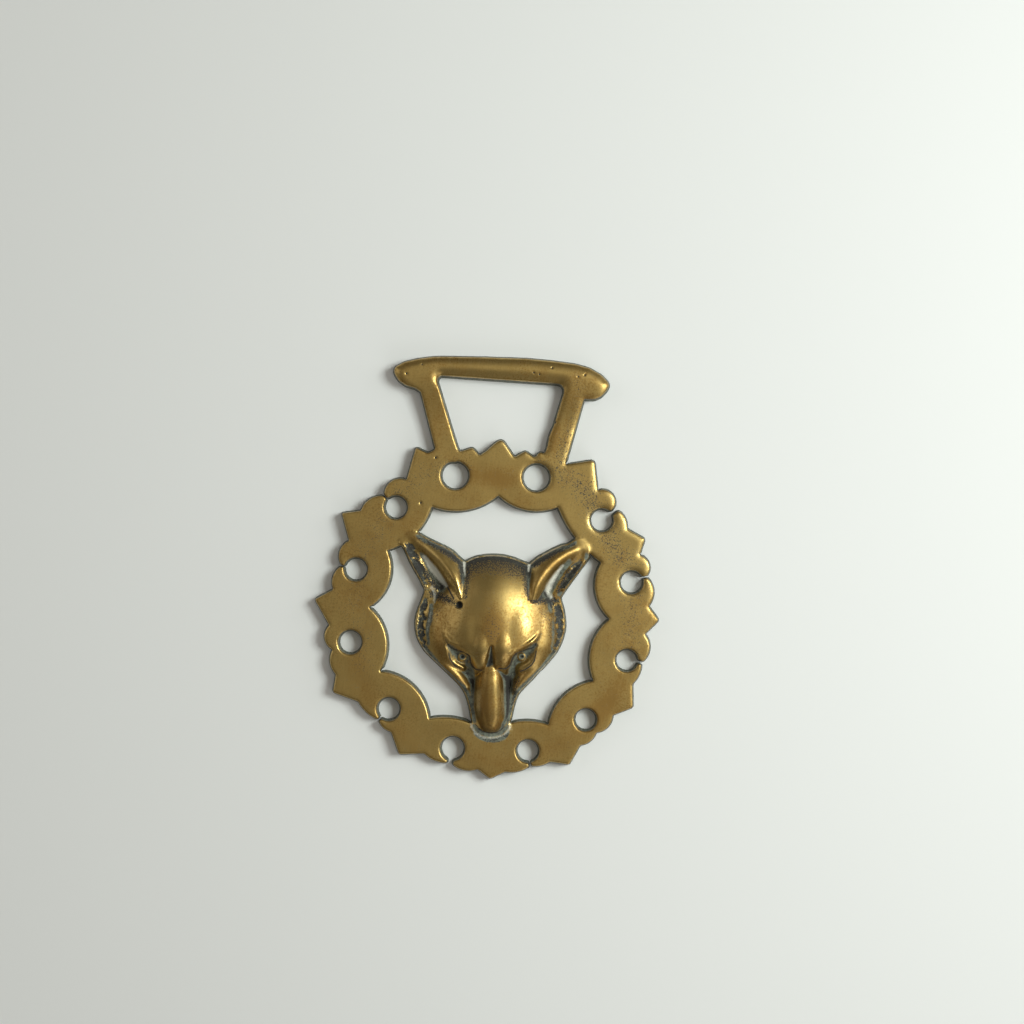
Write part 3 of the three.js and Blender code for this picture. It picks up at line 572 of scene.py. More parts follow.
def nearest(points, line):
    """How far each point lies off a line of (x, y, value, half-width), in half-widths, and the line's value
    beside it."""
    off = np.full(len(points), np.inf)
    value = np.zeros(len(points))
    stations = curved(line)
    for start, end in zip(stations, stations[1:]):
        along, gap = off_line(points, start[:2], end[:2])
        gap /= start[3] + along * (end[3] - start[3])
        closer = gap < off
        off = np.where(closer, gap, off)
        value = np.where(closer, start[2] + along * (end[2] - start[2]), value)
    return off, value


def add_ridges(height, points, ridges):
    for line in ridges["lines"]:
        off, value = nearest(points, line)
        power = ridges.get("power", 2)  # above 2, flatter on top and steeper at the sides
        fall = ridges["drop"] * np.where(off < 1, off ** power, 1 + (off - 1) * power)
        height = blend(height, value - fall, ridges["fillet"])
    return height


def sink_depth(points, line):
    off, value = nearest(points, line)
    return np.where(off < SINK_REACH, value * np.cos(np.clip(off / SINK_REACH, 0, 1) * math.pi / 2) ** 2, 0)


def head_height(points):
    height = add_domes(np.full(len(points), FLOOR), points, SKULL)
    for at, size, rise in SWELLS:
        height = height + rise * bowl(off_oval(points, at, size)) ** 2
    for line in BROWS + SOCKETS:
        height = height - sink_depth(points, line)
    height = add_domes(height, points, KNOBS) - sink_depth(points, GROOVE)
    height = add_domes(height, points, EYES)
    for eye in EYES["places"]:
        height = height - PUPIL[1] * bowl(off_spot(points, eye) / PUPIL[0])
    for ridges in (CHEEKS, LIDS, MUZZLE, EARS, FOLDS):
        height = add_ridges(height, points, ridges)
    for hollow in EAR_HOLLOWS:
        height = height - sink_depth(points, hollow)
    part = np.minimum(inset(points, HEAD) / RIM_WIDTH, 1)
    return np.minimum(height, RIM_HEIGHT + RIM_RISE * part * (2 - part))


def waves(points):
    """A slow unevenness between about -1 and 1, as a file leaves it."""
    x, y = points.T
    return (np.sin(0.31 * x + 0.17 * y + 0.4) + np.sin(-0.22 * x + 0.37 * y + 1.9)
            + np.sin(0.63 * x - 0.41 * y + 2.6) * 0.5 + np.sin(0.52 * x + 0.71 * y + 5.1) * 0.5) / 3


def frame_height(points, sizes):
    """Height of the ring, legs and bar in millimetres, before their edges are rounded."""
    rise = (sizes.bar - sizes.plate) * smooth(points[:, 1], *RISE_BAND)
    return (sizes.plate + sizes.filing * waves(points) + rise) / MM


def face_height(points, edge, sizes):
    """Height of the face at each point, given its distance from the casting's outline."""
    within = inset(points, window_loop())
    framed = in_frame(points) | (inset(points, HEAD) <= 0)
    head = head_height(points) - RUN_OUT * np.minimum(within, 0) ** 2
    plate = frame_height(points, sizes) - np.where(framed, 0, RUN_OUT * np.maximum(within, 0) ** 2)
    height = blend(plate, head, FRAME_FILLET)
    for x, y, radius, depth in PITS:
        height = height - depth * bowl(off_spot(points, (x, y)) / radius)
    on_bar = smooth(points[:, 1], *BAR_BAND)
    wear = 1 + WORN * smooth(points @ LIT_SIDE, *WORN_BAND) * framed
    part = np.clip(edge / (EDGE_ROUND * wear + BAR_ROUND * on_bar), 0, 1)
    return height - (EDGE_DROP + BAR_FALL * on_bar) * (1 - np.sqrt(part * (2 - part)))


# ---- the casting's mesh
def hex_fill(low, high, step):
    x, y = square_grid(low, high, step, step * math.sqrt(0.75))
    x[1::2] += step / 2
    return np.stack((x.ravel(), y.ravel()), axis=1)


def tree_of(points):
    tree = KDTree(len(points))
    for i, (x, y) in enumerate(points):
        tree.insert((x, y, 0), i)
    tree.balance()
    return tree


def distances(points, tree):
    return np.array([tree.find((x, y, 0))[2] for x, y in points])


def room_outside(loops):
    """How far each outline point can lean outwards before it nears another side, and which way it leans."""
    edge = np.vstack(loops)
    tree = tree_of(edge)
    lean = np.vstack([outward(loop) for loop in loops])
    room = np.full(len(edge), ROOM_STEPS[-1])
    for reach in reversed(ROOM_STEPS):
        near = distances(edge + lean * reach, tree) < reach * ROOM_CLEAR
        room = np.where(near, np.minimum(room, reach), room)
    return room, lean


def doubled_area(points, triangles):
    a, b, c = (points[triangles[:, i]] for i in range(3))
    return (b[:, 0] - a[:, 0]) * (c[:, 1] - a[:, 1]) - (b[:, 1] - a[:, 1]) * (c[:, 0] - a[:, 0])


def facing_up(points, triangles):
    return np.where(doubled_area(points, triangles)[:, None] > 0, triangles, triangles[:, ::-1])


def in_metal(points, loops):
    metal = np.zeros(len(points), dtype=bool)
    for loop in loops:
        metal ^= inside(points, loop)
    return metal


def triangulated(loops, extra):
    """Triangles over the metal inside the loops; the loops' points come first, in order."""
    points = np.vstack(loops + [extra])
    rim_points = sum(len(loop) for loop in loops)
    _, _, faces, sources, *_ = delaunay_2d_cdt(
        [Vector(point) for point in points], loop_edges(loops), [], 0, CLOSE, True)
    origin = [source[0] if source else -1 for source in sources]
    if min(origin) < 0 or len(set(origin)) < len(points):
        raise RuntimeError("the casting's outline crosses itself or has doubled points")
    faces = np.array([[origin[i] for i in face] for face in faces])
    rim_only = (faces < rim_points).all(axis=1)
    keep = np.ones(len(faces), dtype=bool)
    keep[rim_only] = in_metal(points[faces[rim_only]].mean(axis=1), loops)
    return points, faces[keep & (np.abs(doubled_area(points, faces)) > CLOSE)]


def wall_rows(loops, face_edge, sizes):
    """The casting's sides, from the face's outline down to the back: rows of places, one for each outline
    point, and the outline of the back."""
    room, lean = room_outside(loops)
    edge = np.vstack(loops)
    draft = np.minimum(sizes.draft / MM, room * DRAFT_SHARE)
    rows = []
    for part in WALL_PARTS:
        out = edge + lean * (draft * part)[:, None]
        rows.append(np.column_stack((out, face_edge + (BACK_CHAMFER - face_edge) * part)))
    foot = edge + lean * (draft - np.minimum(BACK_CHAMFER, draft / 2))[:, None]
    return rows, foot


def back_height(points):
    return HOLLOW["depth"] * np.sqrt(bowl(off_oval(points, HOLLOW["at"], HOLLOW["size"])))


def back_fill(loops):
    """Points over the flat back, and rings of them in the hollow behind the skull."""
    middle, size = np.array(HOLLOW["at"]), HOLLOW["size"]
    edge = np.vstack(loops)
    grid = hex_fill(edge.min(axis=0), edge.max(axis=0), BACK_STEP)
    grid = grid[in_metal(grid, loops)]
    grid = grid[distances(grid, tree_of(edge)) > BACK_STEP / 2]
    grid = grid[off_oval(grid, middle, size) > 1 + BACK_STEP / size[0] / 2]
    rings = [middle + round_points(HOLLOW_SIDES) * size * part for part in HOLLOW_RINGS]
    return np.vstack([grid, [middle]] + rings)


def face_fill(loops, tree):
    """Points over the face and the distance of each from the outline: rows beside the edge, then a fine
    fill on the head and a coarser one on the ring and hanger."""
    edge = np.vstack(loops)
    lean = np.vstack([outward(loop) for loop in loops])
    parts, gaps = [], []
    for depth in ROUND_ROWS:
        row = edge - lean * depth
        clear = (distances(row, tree) > depth * ROW_CLEAR) & in_metal(row, loops)
        parts.append(row[clear])
        gaps.append(np.full(clear.sum(), depth))
    head = hex_fill(np.min(HEAD, axis=0), np.max(HEAD, axis=0), HEAD_STEP)
    head = head[inset(head, HEAD) > 0]
    plate = hex_fill(edge.min(axis=0), edge.max(axis=0), PLATE_STEP)
    plate = plate[in_metal(plate, loops)]
    plate = plate[inset(plate, HEAD) < -PLATE_STEP / 2]
    for x, y, radius, _ in PITS:
        if inset(np.array([(x, y)]), HEAD)[0] <= 0:
            plate = plate[off_spot(plate, (x, y)) > radius * PIT_CLEAR]
            circle = round_points(PIT_SIDES) * radius
            plate = np.vstack([plate, [(x, y)]] + [(x, y) + circle * part for part in PIT_RINGS])
    for fill, step in ((head, HEAD_STEP), (plate, PLATE_STEP)):
        gap = distances(fill, tree)
        clear = gap > ROUND_ROWS[-1] + step / 2
        parts.append(fill[clear])
        gaps.append(gap[clear])
    return np.vstack(parts), np.concatenate(gaps)


def make_casting(sizes):
    """The bare casting as a mesh in metres, with the masks that its finish reads."""
    loops = [softened(resampled(loop, EDGE_STEP), EDGE_SOFTENING) for loop in casting_loops()]
    edge = np.vstack(loops)
    fill, gaps = face_fill(loops, tree_of(edge))
    face, face_triangles = triangulated(loops, fill)
    height = face_height(face, np.concatenate((np.zeros(len(edge)), gaps)), sizes)
    rows, foot = wall_rows(loops, height[:len(edge)], sizes)
    starts = np.cumsum([0] + [len(loop) for loop in loops])
    spans = list(zip(starts, starts[1:]))
    back_loops = [foot[a:b] for a, b in spans]
    back, back_triangles = triangulated(back_loops, back_fill(back_loops))

    levels = [0] + list(np.cumsum([len(face)] + [len(edge)] * len(rows)))
    bottom = np.column_stack((back, back_height(back)))
    places = np.vstack([np.column_stack((face, height))] + rows + [bottom])
    here = np.arange(len(edge))
    following = np.concatenate([np.roll(np.arange(a, b), -1) for a, b in spans])
    faces = facing_up(face, face_triangles).tolist()
    for top, low in zip(levels, levels[1:]):
        faces += np.column_stack((top + here, low + here, low + following, top + following)).tolist()
    faces += (facing_up(back, back_triangles)[:, ::-1] + levels[-1]).tolist()

    mesh = bpy.data.meshes.new(NODE)
    mesh.from_pydata(((places + (*RING_CENTRE, 0)) * MM).tolist(), [], faces)
    numbers = np.arange(len(places))
    masks = finish_masks(places, (numbers < len(face)).astype(float), sizes)
    masks["back"] = (numbers >= levels[-1]).astype(float)
    for name, values in masks.items():
        kind, field = ("FLOAT_VECTOR", "vector") if values.ndim == 2 else ("FLOAT", "value")
        layer = mesh.attributes.new(name, kind, "POINT")
        layer.data.foreach_set(field, values.astype(np.float32).ravel())
    mesh.validate()
    mesh.shade_smooth()
    loose = bpy.data.objects.new(NODE + "_cast", mesh)
    bpy.context.scene.collection.objects.link(loose)
    return loose


# ---- where dirt, polish, fur and painted shade lie
def near_lines(points, lines):
    """The strength of each line of (x, y, strength, half-width), fading to 0 at its half-width."""
    mask = np.zeros(len(points))
    for line in lines:
        off, value = nearest(points, line)
        mask = np.maximum(mask, value * smooth(1 - off, 0, 1))
    return mask


def lowness(points, height, sizes):
    """How far each point lies under the mean height around it, from a grid over the head."""
    low, high = np.min(HEAD, axis=0) - LOW_REACH, np.max(HEAD, axis=0) + LOW_REACH
    x, y = square_grid(low, high, LOW_STEP, LOW_STEP)
    grid = np.stack((x.ravel(), y.ravel()), axis=1)
    level = np.maximum(head_height(grid), RIM_HEIGHT)
    level = np.where(in_frame(grid), np.maximum(level, sizes.plate / MM), level)
    mean = level.reshape(x.shape)
    size = int(LOW_REACH / LOW_STEP)
    for axis in (0, 1, 0, 1):
        mean = np.apply_along_axis(np.convolve, axis, mean, np.ones(size) / size, "same")
    column, row = (np.clip((points[:, i] - low[i]) / LOW_STEP, 0, x.shape[1 - i] - 2) for i in (0, 1))
    i, j = column.astype(int), row.astype(int)
    u, v = column - i, row - j
    around = ((mean[j, i] * (1 - u) + mean[j, i + 1] * u) * (1 - v)
              + (mean[j + 1, i] * (1 - u) + mean[j + 1, i + 1] * u) * v)
    return np.where(inset(points, HEAD) > -LOW_MARGIN, around - height, 0)


def hair_across(points):
    """Coordinates for the tufts, drawn out along the hair where it is combed."""
    x, y = points.T
    flat = np.zeros(len(x))
    turn = np.where(x > 0, COMB_TURN, math.pi - COMB_TURN)
    drawn = np.stack((-np.sin(turn) * x + np.cos(turn) * y,
                      (np.cos(turn) * x + np.sin(turn) * y) * COMB_STRETCH, flat), axis=1)
    return np.where(near_lines(points, COMBED)[:, None] > 0, drawn, np.column_stack((points, flat)))


def finish_masks(places, front, sizes):
    """The masks by name, each from 0 to 1: fur; stipple_and_shade, the punched dots and a few dark dots that
    paint shade on the forehead; patina; crevice_and_shade, the black dirt, which on the sides also paints
    shade; residue; tarnish_and_shade, browned metal and mostly painted shade; and polish. And comb, the
    coordinates for the fur's tufts. Front is 1 on the face and 0 on the sides and the back."""
    points, height = places[:, :2], places[:, 2]
    x, y = points.T
    depth = inset(points, HEAD)
    on_head = smooth(depth, 0, HEAD_FADE) * front
    low = lowness(points, height, sizes)

    near_middle = np.abs(x - CROWN_MIDDLE) < CROWN_REACH
    crown = smooth(y, *CROWN_BAND) * (CROWN_FULL - depth / CROWN_FUR) * near_middle
    stipple_and_shade = np.clip(np.maximum(near_lines(points, STIPPLE_AND_SHADE), crown), 0, 1) * on_head
    stipple_and_shade = np.maximum(stipple_and_shade, near_lines(points, SPECKLED) * front * (1 - on_head))

    side = smooth(RIM_HEIGHT + SIDE_TOP - height, 0, SIDE_FADE) * (1 - smooth(depth, *SIDE_REACH))
    side = side * smooth(inset(points, window_loop()), *OFF_RING)
    patina = np.maximum(np.maximum(near_lines(points, PATINA), smooth(low, *LOW_PATINA)), side) * on_head
    crevice_and_shade = np.maximum(near_lines(points, CREVICES), smooth(low, *LOW_CREVICE)) * on_head
    for px, py, radius, _ in PITS:
        off = off_spot(points, (px, py)) / radius
        crevice_and_shade = np.maximum(crevice_and_shade, smooth(PIT_EDGE - off, 0, PIT_FADE) * front)
    for eye in EYES["places"]:
        off = off_spot(points, eye)
        bare = 1 - smooth(np.abs(off - EYE_RING[0]), EYE_RING[1] / 2, EYE_RING[1])
        patina, crevice_and_shade = patina * (1 - RING_BARE * bare), crevice_and_shade * (1 - bare)
    masks = dict(fur=near_lines(points, FUR) * on_head, comb=hair_across(points), stipple_and_shade=stipple_and_shade)
    masks["patina"] = np.where(front > 0, patina, WALL_PATINA)
    # on the sides, black dirt that also stands for painted shade
    masks["crevice_and_shade"] = np.where(front > 0, crevice_and_shade, WALL_DIRT_AND_SHADE)
    for name, lines in (("residue", RESIDUE), ("tarnish_and_shade", TARNISH_AND_SHADE), ("polish", POLISHED)):
        masks[name] = near_lines(points, lines) * front
    return masks


# ---- node helpers
COLOUR = "NodeSocketColor"


def put(tree, kind, inputs=None, **settings):
    """Adds a node, with its settings, and sets or links its inputs."""
    made = tree.nodes.new(kind)
    for name, value in settings.items():
        setattr(made, name, value)
    link(tree, made, inputs or {})
    return made


def link(tree, node, inputs):
    for name, value in inputs.items():
        if isinstance(value, bpy.types.NodeSocket):
            tree.links.new(value, node.inputs[name])
        else:
            node.inputs[name].default_value = value


def maths(how, clamped):
    """A function that puts a sum of this kind in a tree. A clamped sum stays between 0 and 1."""
    def worked_out(tree, a, b):
        return put(tree, "ShaderNodeMath", {0: a, 1: b}, operation=how, use_clamp=clamped).outputs[0]
    return worked_out


plus, times, most = (maths(how, True) for how in ("ADD", "MULTIPLY", "MAXIMUM"))
less, stacked, scaled, shared = (maths(how, False) for how in ("SUBTRACT", "ADD", "MULTIPLY", "DIVIDE"))


def ranged(tree, value, low, high, start=0.0, end=1.0):
    inputs = {"Value": value, "From Min": low, "From Max": high, "To Min": start, "To Max": end}
    return put(tree, "ShaderNodeMapRange", inputs).outputs["Result"]


def mixed(tree, share, a, b):
    return put(tree, "ShaderNodeMix", {0: share, 6: a, 7: b}, data_type="RGBA").outputs[2]


def place_in(tree):
    return put(tree, "ShaderNodeTexCoord").outputs["Object"]


def noise(tree, vector, scale, detail=3.0, rough=0.55):
    inputs = {"Vector": vector, "Scale": scale, "Detail": detail, "Roughness": rough}
    return put(tree, "ShaderNodeTexNoise", inputs).outputs[0]


def new_group(name, inputs, outputs, kind="ShaderNodeTree"):
    """A node group. Each socket is named with its type, or with a number that it has to start from."""
    tree = bpy.data.node_groups.new(name, kind)
    for direction, sockets in (("INPUT", inputs), ("OUTPUT", outputs)):
        for label, given in sockets.items():
            number = isinstance(given, float)
            made = tree.interface.new_socket(
                label, in_out=direction, socket_type="NodeSocketFloat" if number else given)
            if number:
                made.default_value = given
    return tree, tree.nodes.new("NodeGroupInput").outputs, tree.nodes.new("NodeGroupOutput")


def use_group(tree, group, inputs):
    return put(tree, "ShaderNodeGroup", inputs, node_tree=group).outputs


# ---- the chased fur
TUFT_SEED = 3.0
TUFT_SPREAD, TUFT_EDGE = (0.3, 0.7), 0.12  # the noise's range, and how soft the side of a tuft is
FUR_START = (0.05, 0.4)  # how strong the fur is when its ground starts to sink and when it is fully sunk
BACK_PART = 0.75


def carried(tree, name, kind="FLOAT"):
    """What the mesh carries under a name."""
    return put(tree, "GeometryNodeInputNamedAttribute", {"Name": name}, data_type=kind).outputs[0]


def fur_tree(brass, bare_back):
    """Sinks the ground between the fur's tufts, keeps how far each place stands up, and gives out the
    metal."""
    geometry = "NodeSocketGeometry"
    tree, given, result = new_group(
        "Chased fur", {"Geometry": geometry, "Depth": 0.3 * MM, "Tuft Size": 0.5, "Seed": TUFT_SEED},
        {"Geometry": geometry}, "GeometryNodeTree")
    fur = carried(tree, "fur")
    tufts = put(tree, "ShaderNodeTexNoise", {
        "Vector": carried(tree, "comb", "FLOAT_VECTOR"), "W": given["Seed"],
        "Scale": shared(tree, 1.0, given["Tuft Size"]), "Detail": 2.0, "Roughness": 0.6,
    }, noise_dimensions="4D").outputs[0]
    stands = ranged(tree, less(tree, ranged(tree, tufts, *TUFT_SPREAD), fur), -TUFT_EDGE, TUFT_EDGE)
    sunk = scaled(tree, less(tree, 1.0, stands), ranged(tree, fur, *FUR_START))
    fall = scaled(tree, sunk, scaled(tree, given["Depth"], -1.0))
    normal = put(tree, "GeometryNodeInputNormal").outputs[0]
    offset = put(tree, "ShaderNodeVectorMath", {0: normal, "Scale": fall}, operation="SCALE").outputs[0]
    moved = put(tree, "GeometryNodeSetPosition", {"Geometry": given["Geometry"], "Offset": offset}).outputs[0]
    kept = put(tree, "GeometryNodeStoreNamedAttribute", {
        "Geometry": moved, "Name": "stands", "Value": stands}, data_type="FLOAT", domain="POINT").outputs[0]
    shown = put(tree, "GeometryNodeRealizeInstances", {"Geometry": kept}).outputs[0]
    is_back = put(tree, "FunctionNodeCompare", {0: carried(tree, "back"), 1: BACK_PART}, data_type="FLOAT",
                  operation="GREATER_THAN").outputs[0]
    for chosen, metal in ((True, brass), (is_back, bare_back)):
        shown = put(tree, "GeometryNodeSetMaterial",
                    {"Geometry": shown, "Selection": chosen, "Material": metal}).outputs[0]
    link(tree, result, {"Geometry": shown})
    return tree


def applied(loose, tree, inputs):
    """The object's mesh with the tree's result, as a new plain object at the origin."""
    modifier = loose.modifiers.new(tree.name, "NODES")
    modifier.node_group = tree
    names = {item.name: item.identifier for item in tree.interface.items_tree if item.in_out == "INPUT"}
    for name, value in inputs.items():
        modifier[names[name]] = value
    evaluated = loose.evaluated_get(bpy.context.evaluated_depsgraph_get())
    mesh = bpy.data.meshes.new_from_object(evaluated)
    loose.modifiers.remove(modifier)
    bare = loose.data
    bpy.data.objects.remove(loose)
    bpy.data.meshes.remove(bare)
    mesh.name = NODE
    made = bpy.data.objects.new(NODE + "_casting", mesh)
    bpy.context.scene.collection.objects.link(made)
    return made


# ---- finishes
# Noise scales, in turns to the metre.
CLOUD_SIZE = 0.012  # metres
SPECK_SCALE, BLOTCH_SCALE, WEAR_SCALE = 2300.0, 420.0, 130.0
TORN_SCALES, DOT_SCALE, FILM_SCALE = (3800.0, 900.0), 4200.0, 1500.0
UNEVEN_SCALE, GRAIN_SCALE, HOLE_SCALE, RARE_SCALE = 260.0, 2600.0, 420.0, 330.0
PATCH_SCALE, BACK_SPECK_SCALE = 140.0, 900.0
RUB_TURN, RUB_SIZE = 1.45, (0.005, 0.0003, 0.005)  # turn, length and breadth of the rubbing lines
DIRT_METAL, DIRT_ROUGH = 0.08, 0.72  # how metallic and how rough the dirt is
BUMP, BUMP_HEIGHT = 0.5, 0.06 * MM
FACE_GRAIN, BACK_GRAIN = (0.25, 0.5), (1.0, 1.0)  # strength of the fine grain and of the small pits
BACK_DULLER = 0.2
FUR_SHOWS = (0.04, 0.25)  # how strong the fur is when its dirt starts to show and when it is full
GROUND_DIRT, TUFT_BARE = 0.72, 0.8  # dirt between the tufts, and patina gone from their tops


def tone_group():
    """Brass gone uneven: clouds of tarnish, browning that is mostly painted shade, blotches, specks and faint
    rubbing lines, and its dullness.
    """
    tree, given, result = new_group(
        "Brass tone",
        {"Brass": COLOUR, "Tarnish and shade color": COLOUR, "Tarnish and shade": 0.0, "Cloud Size": CLOUD_SIZE, "Dullness": 0.35,
         "Polish": 0.0},
        {"Color": COLOUR, "Roughness": 0.0})
    place = place_in(tree)
    clouds = noise(tree, place, shared(tree, 1.0, given["Cloud Size"]), 4.0)
    blotches = ranged(tree, noise(tree, place, BLOTCH_SCALE, 4.0), 0.48, 0.72, 0.0, 0.35)
    rubbed = put(tree, "ShaderNodeMapping", {
        "Vector": place, "Rotation": (0, 0, RUB_TURN), "Scale": RUB_SIZE}, vector_type="TEXTURE").outputs[0]
    # browning by the tarnish mask, which is mostly painted shade
    brown_and_shade = times(tree, given["Tarnish and shade"], ranged(tree, clouds, 0.3, 0.6, 0.55, 1.0))
    base = most(tree, plus(tree, ranged(tree, clouds, 0.42, 0.72, 0.0, 0.6), blotches), brown_and_shade)
    worn = ranged(tree, noise(tree, place, WEAR_SCALE, 2.0), 0.35, 0.65, 0.1, 0.9)
    specks = ranged(tree, noise(tree, place, SPECK_SCALE, 3.0, 0.65), 0.48, 0.64, 0.0, 0.8)
    lines = ranged(tree, noise(tree, rubbed, 1.0, 2.0), 0.4, 0.7, 0.0, 0.2)
    spotted_and_shaded = plus(tree, base, plus(tree, times(tree, specks, worn), lines))
    dull = plus(tree, given["Dullness"], ranged(tree, spotted_and_shaded, 0.0, 1.0, -0.04, 0.16))
    dull = less(tree, dull, ranged(tree, given["Polish"], 0.0, 1.0, 0.0, 0.08))
    link(tree, result, {"Color": mixed(tree, spotted_and_shaded, given["Brass"], given["Tarnish and shade color"]),
                        "Roughness": dull})
    return tree


def grime_and_shade_group():
    """Lays dull patina, black crevice dirt and pale dried polish over a metal, each by its own broken mask,
    and black dots where the stipple mask is. Some of the black dirt and dots are painted shade: on the
    casting's sides and on the middle of the forehead."""
    tree, given, result = new_group(
        "Grime and shade",
        {"Color": COLOUR, "Roughness": 0.4, "Patina Color": COLOUR, "Crevice and shade color": COLOUR,
         "Residue Color": COLOUR, "Patina": 0.0, "Crevice and shade": 0.0, "Residue": 0.0, "Stipple and shade": 0.0},
        {"Color": COLOUR, "Metallic": 0.0, "Roughness": 0.0})
    place = place_in(tree)
    shift = plus(tree, ranged(tree, noise(tree, place, TORN_SCALES[0], 2.0, 0.6), 0.3, 0.7, 0.0, 0.45),
                 ranged(tree, noise(tree, place, TORN_SCALES[1], 2.0), 0.3, 0.7, 0.0, 0.25))

    def torn(name, low, high):
        return ranged(tree, less(tree, given[name], shift), low, high)

    patina, residue = torn("Patina", -0.15, 0.35), torn("Residue", -0.1, 0.8)
    dots = ranged(tree, noise(tree, place, DOT_SCALE, 2.0, 0.5), 0.3, 0.7)
    punched_and_shade = ranged(tree, less(tree, given["Stipple and shade"], dots), -0.12, 0.22)
    crevice_and_shade = most(tree, torn("Crevice and shade", -0.05, 0.4), punched_and_shade)
    thick = ranged(tree, noise(tree, place, FILM_SCALE), 0.4, 0.65, 0.0, 0.7)
    film = mixed(tree, thick, given["Patina Color"], given["Crevice and shade color"])
    surface = mixed(tree, patina, given["Color"], film)
    surface = mixed(tree, crevice_and_shade, surface, given["Crevice and shade color"])
    surface = mixed(tree, residue, surface, given["Residue Color"])
    cover = most(tree, most(tree, patina, crevice_and_shade), residue)
    link(tree, result, {
        "Color": surface, "Metallic": ranged(tree, cover, 0.0, 1.0, 1.0, DIRT_METAL),
        "Roughness": put(tree, "ShaderNodeMix", {0: cover, 2: given["Roughness"], 3: DIRT_ROUGH}).outputs[0]})
    return tree


def grain_group():
    """The height of the cast and rubbed surface: a slow unevenness, a fine grain and small pits."""
    tree, given, result = new_group("Cast grain", {"Grain": 0.3, "Pits": 0.5}, {"Height": 0.0})
    place = place_in(tree)
    uneven = ranged(tree, noise(tree, place, UNEVEN_SCALE), 0.3, 0.7, 0.0, 0.5)
    fine = times(tree, noise(tree, place, GRAIN_SCALE, 2.0), given["Grain"])
    holes = put(tree, "ShaderNodeTexVoronoi", {"Vector": place, "Scale": HOLE_SCALE}, feature="F1")
    rare = ranged(tree, noise(tree, place, RARE_SCALE, 1.0), 0.56, 0.66)
    holes = times(tree, ranged(tree, holes.outputs["Distance"], 0.05, 0.2, 1.0, 0.0), rare)
    height = less(tree, stacked(tree, uneven, fine), times(tree, holes, given["Pits"]))
    link(tree, result, {"Height": height})
    return tree


def brass_material(name, groups, finish, dullness, grain, pits, masks):
    """A brass finish from the shared groups; masks gives what tells the groups where tarnish, polish, patina,
    crevice dirt, dried polish and dots lie. Much of the tarnish, the black dirt on the sides and a few dark
    dots on the forehead are painted shade."""
    material = bpy.data.materials.new(name)
    material.use_nodes = True
    tree = material.node_tree
    tarnish_and_shade, polish, patina, crevice_and_shade, residue, stipple_and_shade = masks(tree)
    tone = use_group(tree, groups["tone"], {
        "Brass": (*finish.brass, 1), "Tarnish and shade color": (*finish.tarnish_and_shade, 1), "Tarnish and shade": tarnish_and_shade,
        "Dullness": dullness, "Polish": polish})
    grime_and_shade = use_group(tree, groups["grime_and_shade"], {
        "Color": tone["Color"], "Roughness": tone["Roughness"], "Patina Color": (*finish.patina, 1),
        "Crevice and shade color": (*finish.crevice_and_shade, 1), "Residue Color": (*finish.residue, 1), "Patina": patina,
        "Crevice and shade": crevice_and_shade, "Residue": residue, "Stipple and shade": stipple_and_shade})
    height = use_group(tree, groups["grain"], {"Grain": grain, "Pits": pits})["Height"]
    bump = put(tree, "ShaderNodeBump", {"Height": height, "Strength": BUMP, "Distance": BUMP_HEIGHT})
    link(tree, tree.nodes["Principled BSDF"], {
        "Base Color": grime_and_shade["Color"], "Metallic": grime_and_shade["Metallic"], "Roughness": grime_and_shade["Roughness"],
        "Normal": bump.outputs[0]})
    return material


def face_masks(tree):
    named = {}
    for name in ("fur", "stands", "tarnish_and_shade", "polish", "patina", "crevice_and_shade", "residue", "stipple_and_shade"):
        named[name] = put(tree, "ShaderNodeAttribute", attribute_name=name).outputs["Fac"]
    furred = ranged(tree, named["fur"], *FUR_SHOWS)
    ground = times(tree, less(tree, 1.0, named["stands"]), furred)
    raised = times(tree, named["stands"], furred)
    crevice_and_shade = most(tree, named["crevice_and_shade"], times(tree, ground, GROUND_DIRT))
    patina = most(tree, less(tree, named["patina"], times(tree, raised, TUFT_BARE)), ground)
    residue = less(tree, named["residue"], raised)
    return named["tarnish_and_shade"], named["polish"], patina, crevice_and_shade, residue, named["stipple_and_shade"]


def back_masks(tree):
    place = place_in(tree)
    patches = ranged(tree, noise(tree, place, PATCH_SCALE, 4.0), 0.4, 0.65, 0.0, 0.75)
    specks = ranged(tree, noise(tree, place, BACK_SPECK_SCALE), 0.55, 0.7, 0.0, 0.8)
    return patches, 0.0, patches, specks, 0.0, 0.0


# ---- stage
FLOOR_ROUGH, FLOOR_SHINE = 0.9, 0.2
ROOM_COLOUR = (1, 0.97, 0.88)
# Name, place, side and colour of each light, in metres; how bright its face is stands in the settings.
LIGHTS = [
    ("key", (0.315, 0.105, 0.39), 0.19, (0.91, 1, 0.98)),
    ("ceiling", (0.2, 0.2, 0.95), 0.8, (1, 0.95, 0.78)),
    ("window", (0.62, 0.2, 0.28), 0.45, (1, 1, 1)),
    ("fill", (-0.6, 0.2, 0.4), 0.5, (1, 1, 1)),
    ("low", (0.32, -0.45, 0.33), 0.4, (1, 1, 1)),
]


def make_floor(stage):
    bpy.ops.mesh.primitive_plane_add(size=stage.floor_size)
    floor = bpy.context.object
    floor.name = "floor"
    material = bpy.data.materials.new("pale floor")
    material.use_nodes = True
    link(material.node_tree, material.node_tree.nodes["Principled BSDF"], {
        "Base Color": (*stage.floor_colour, 1), "Roughness": FLOOR_ROUGH, "Specular IOR Level": FLOOR_SHINE})
    floor.data.materials.append(material)


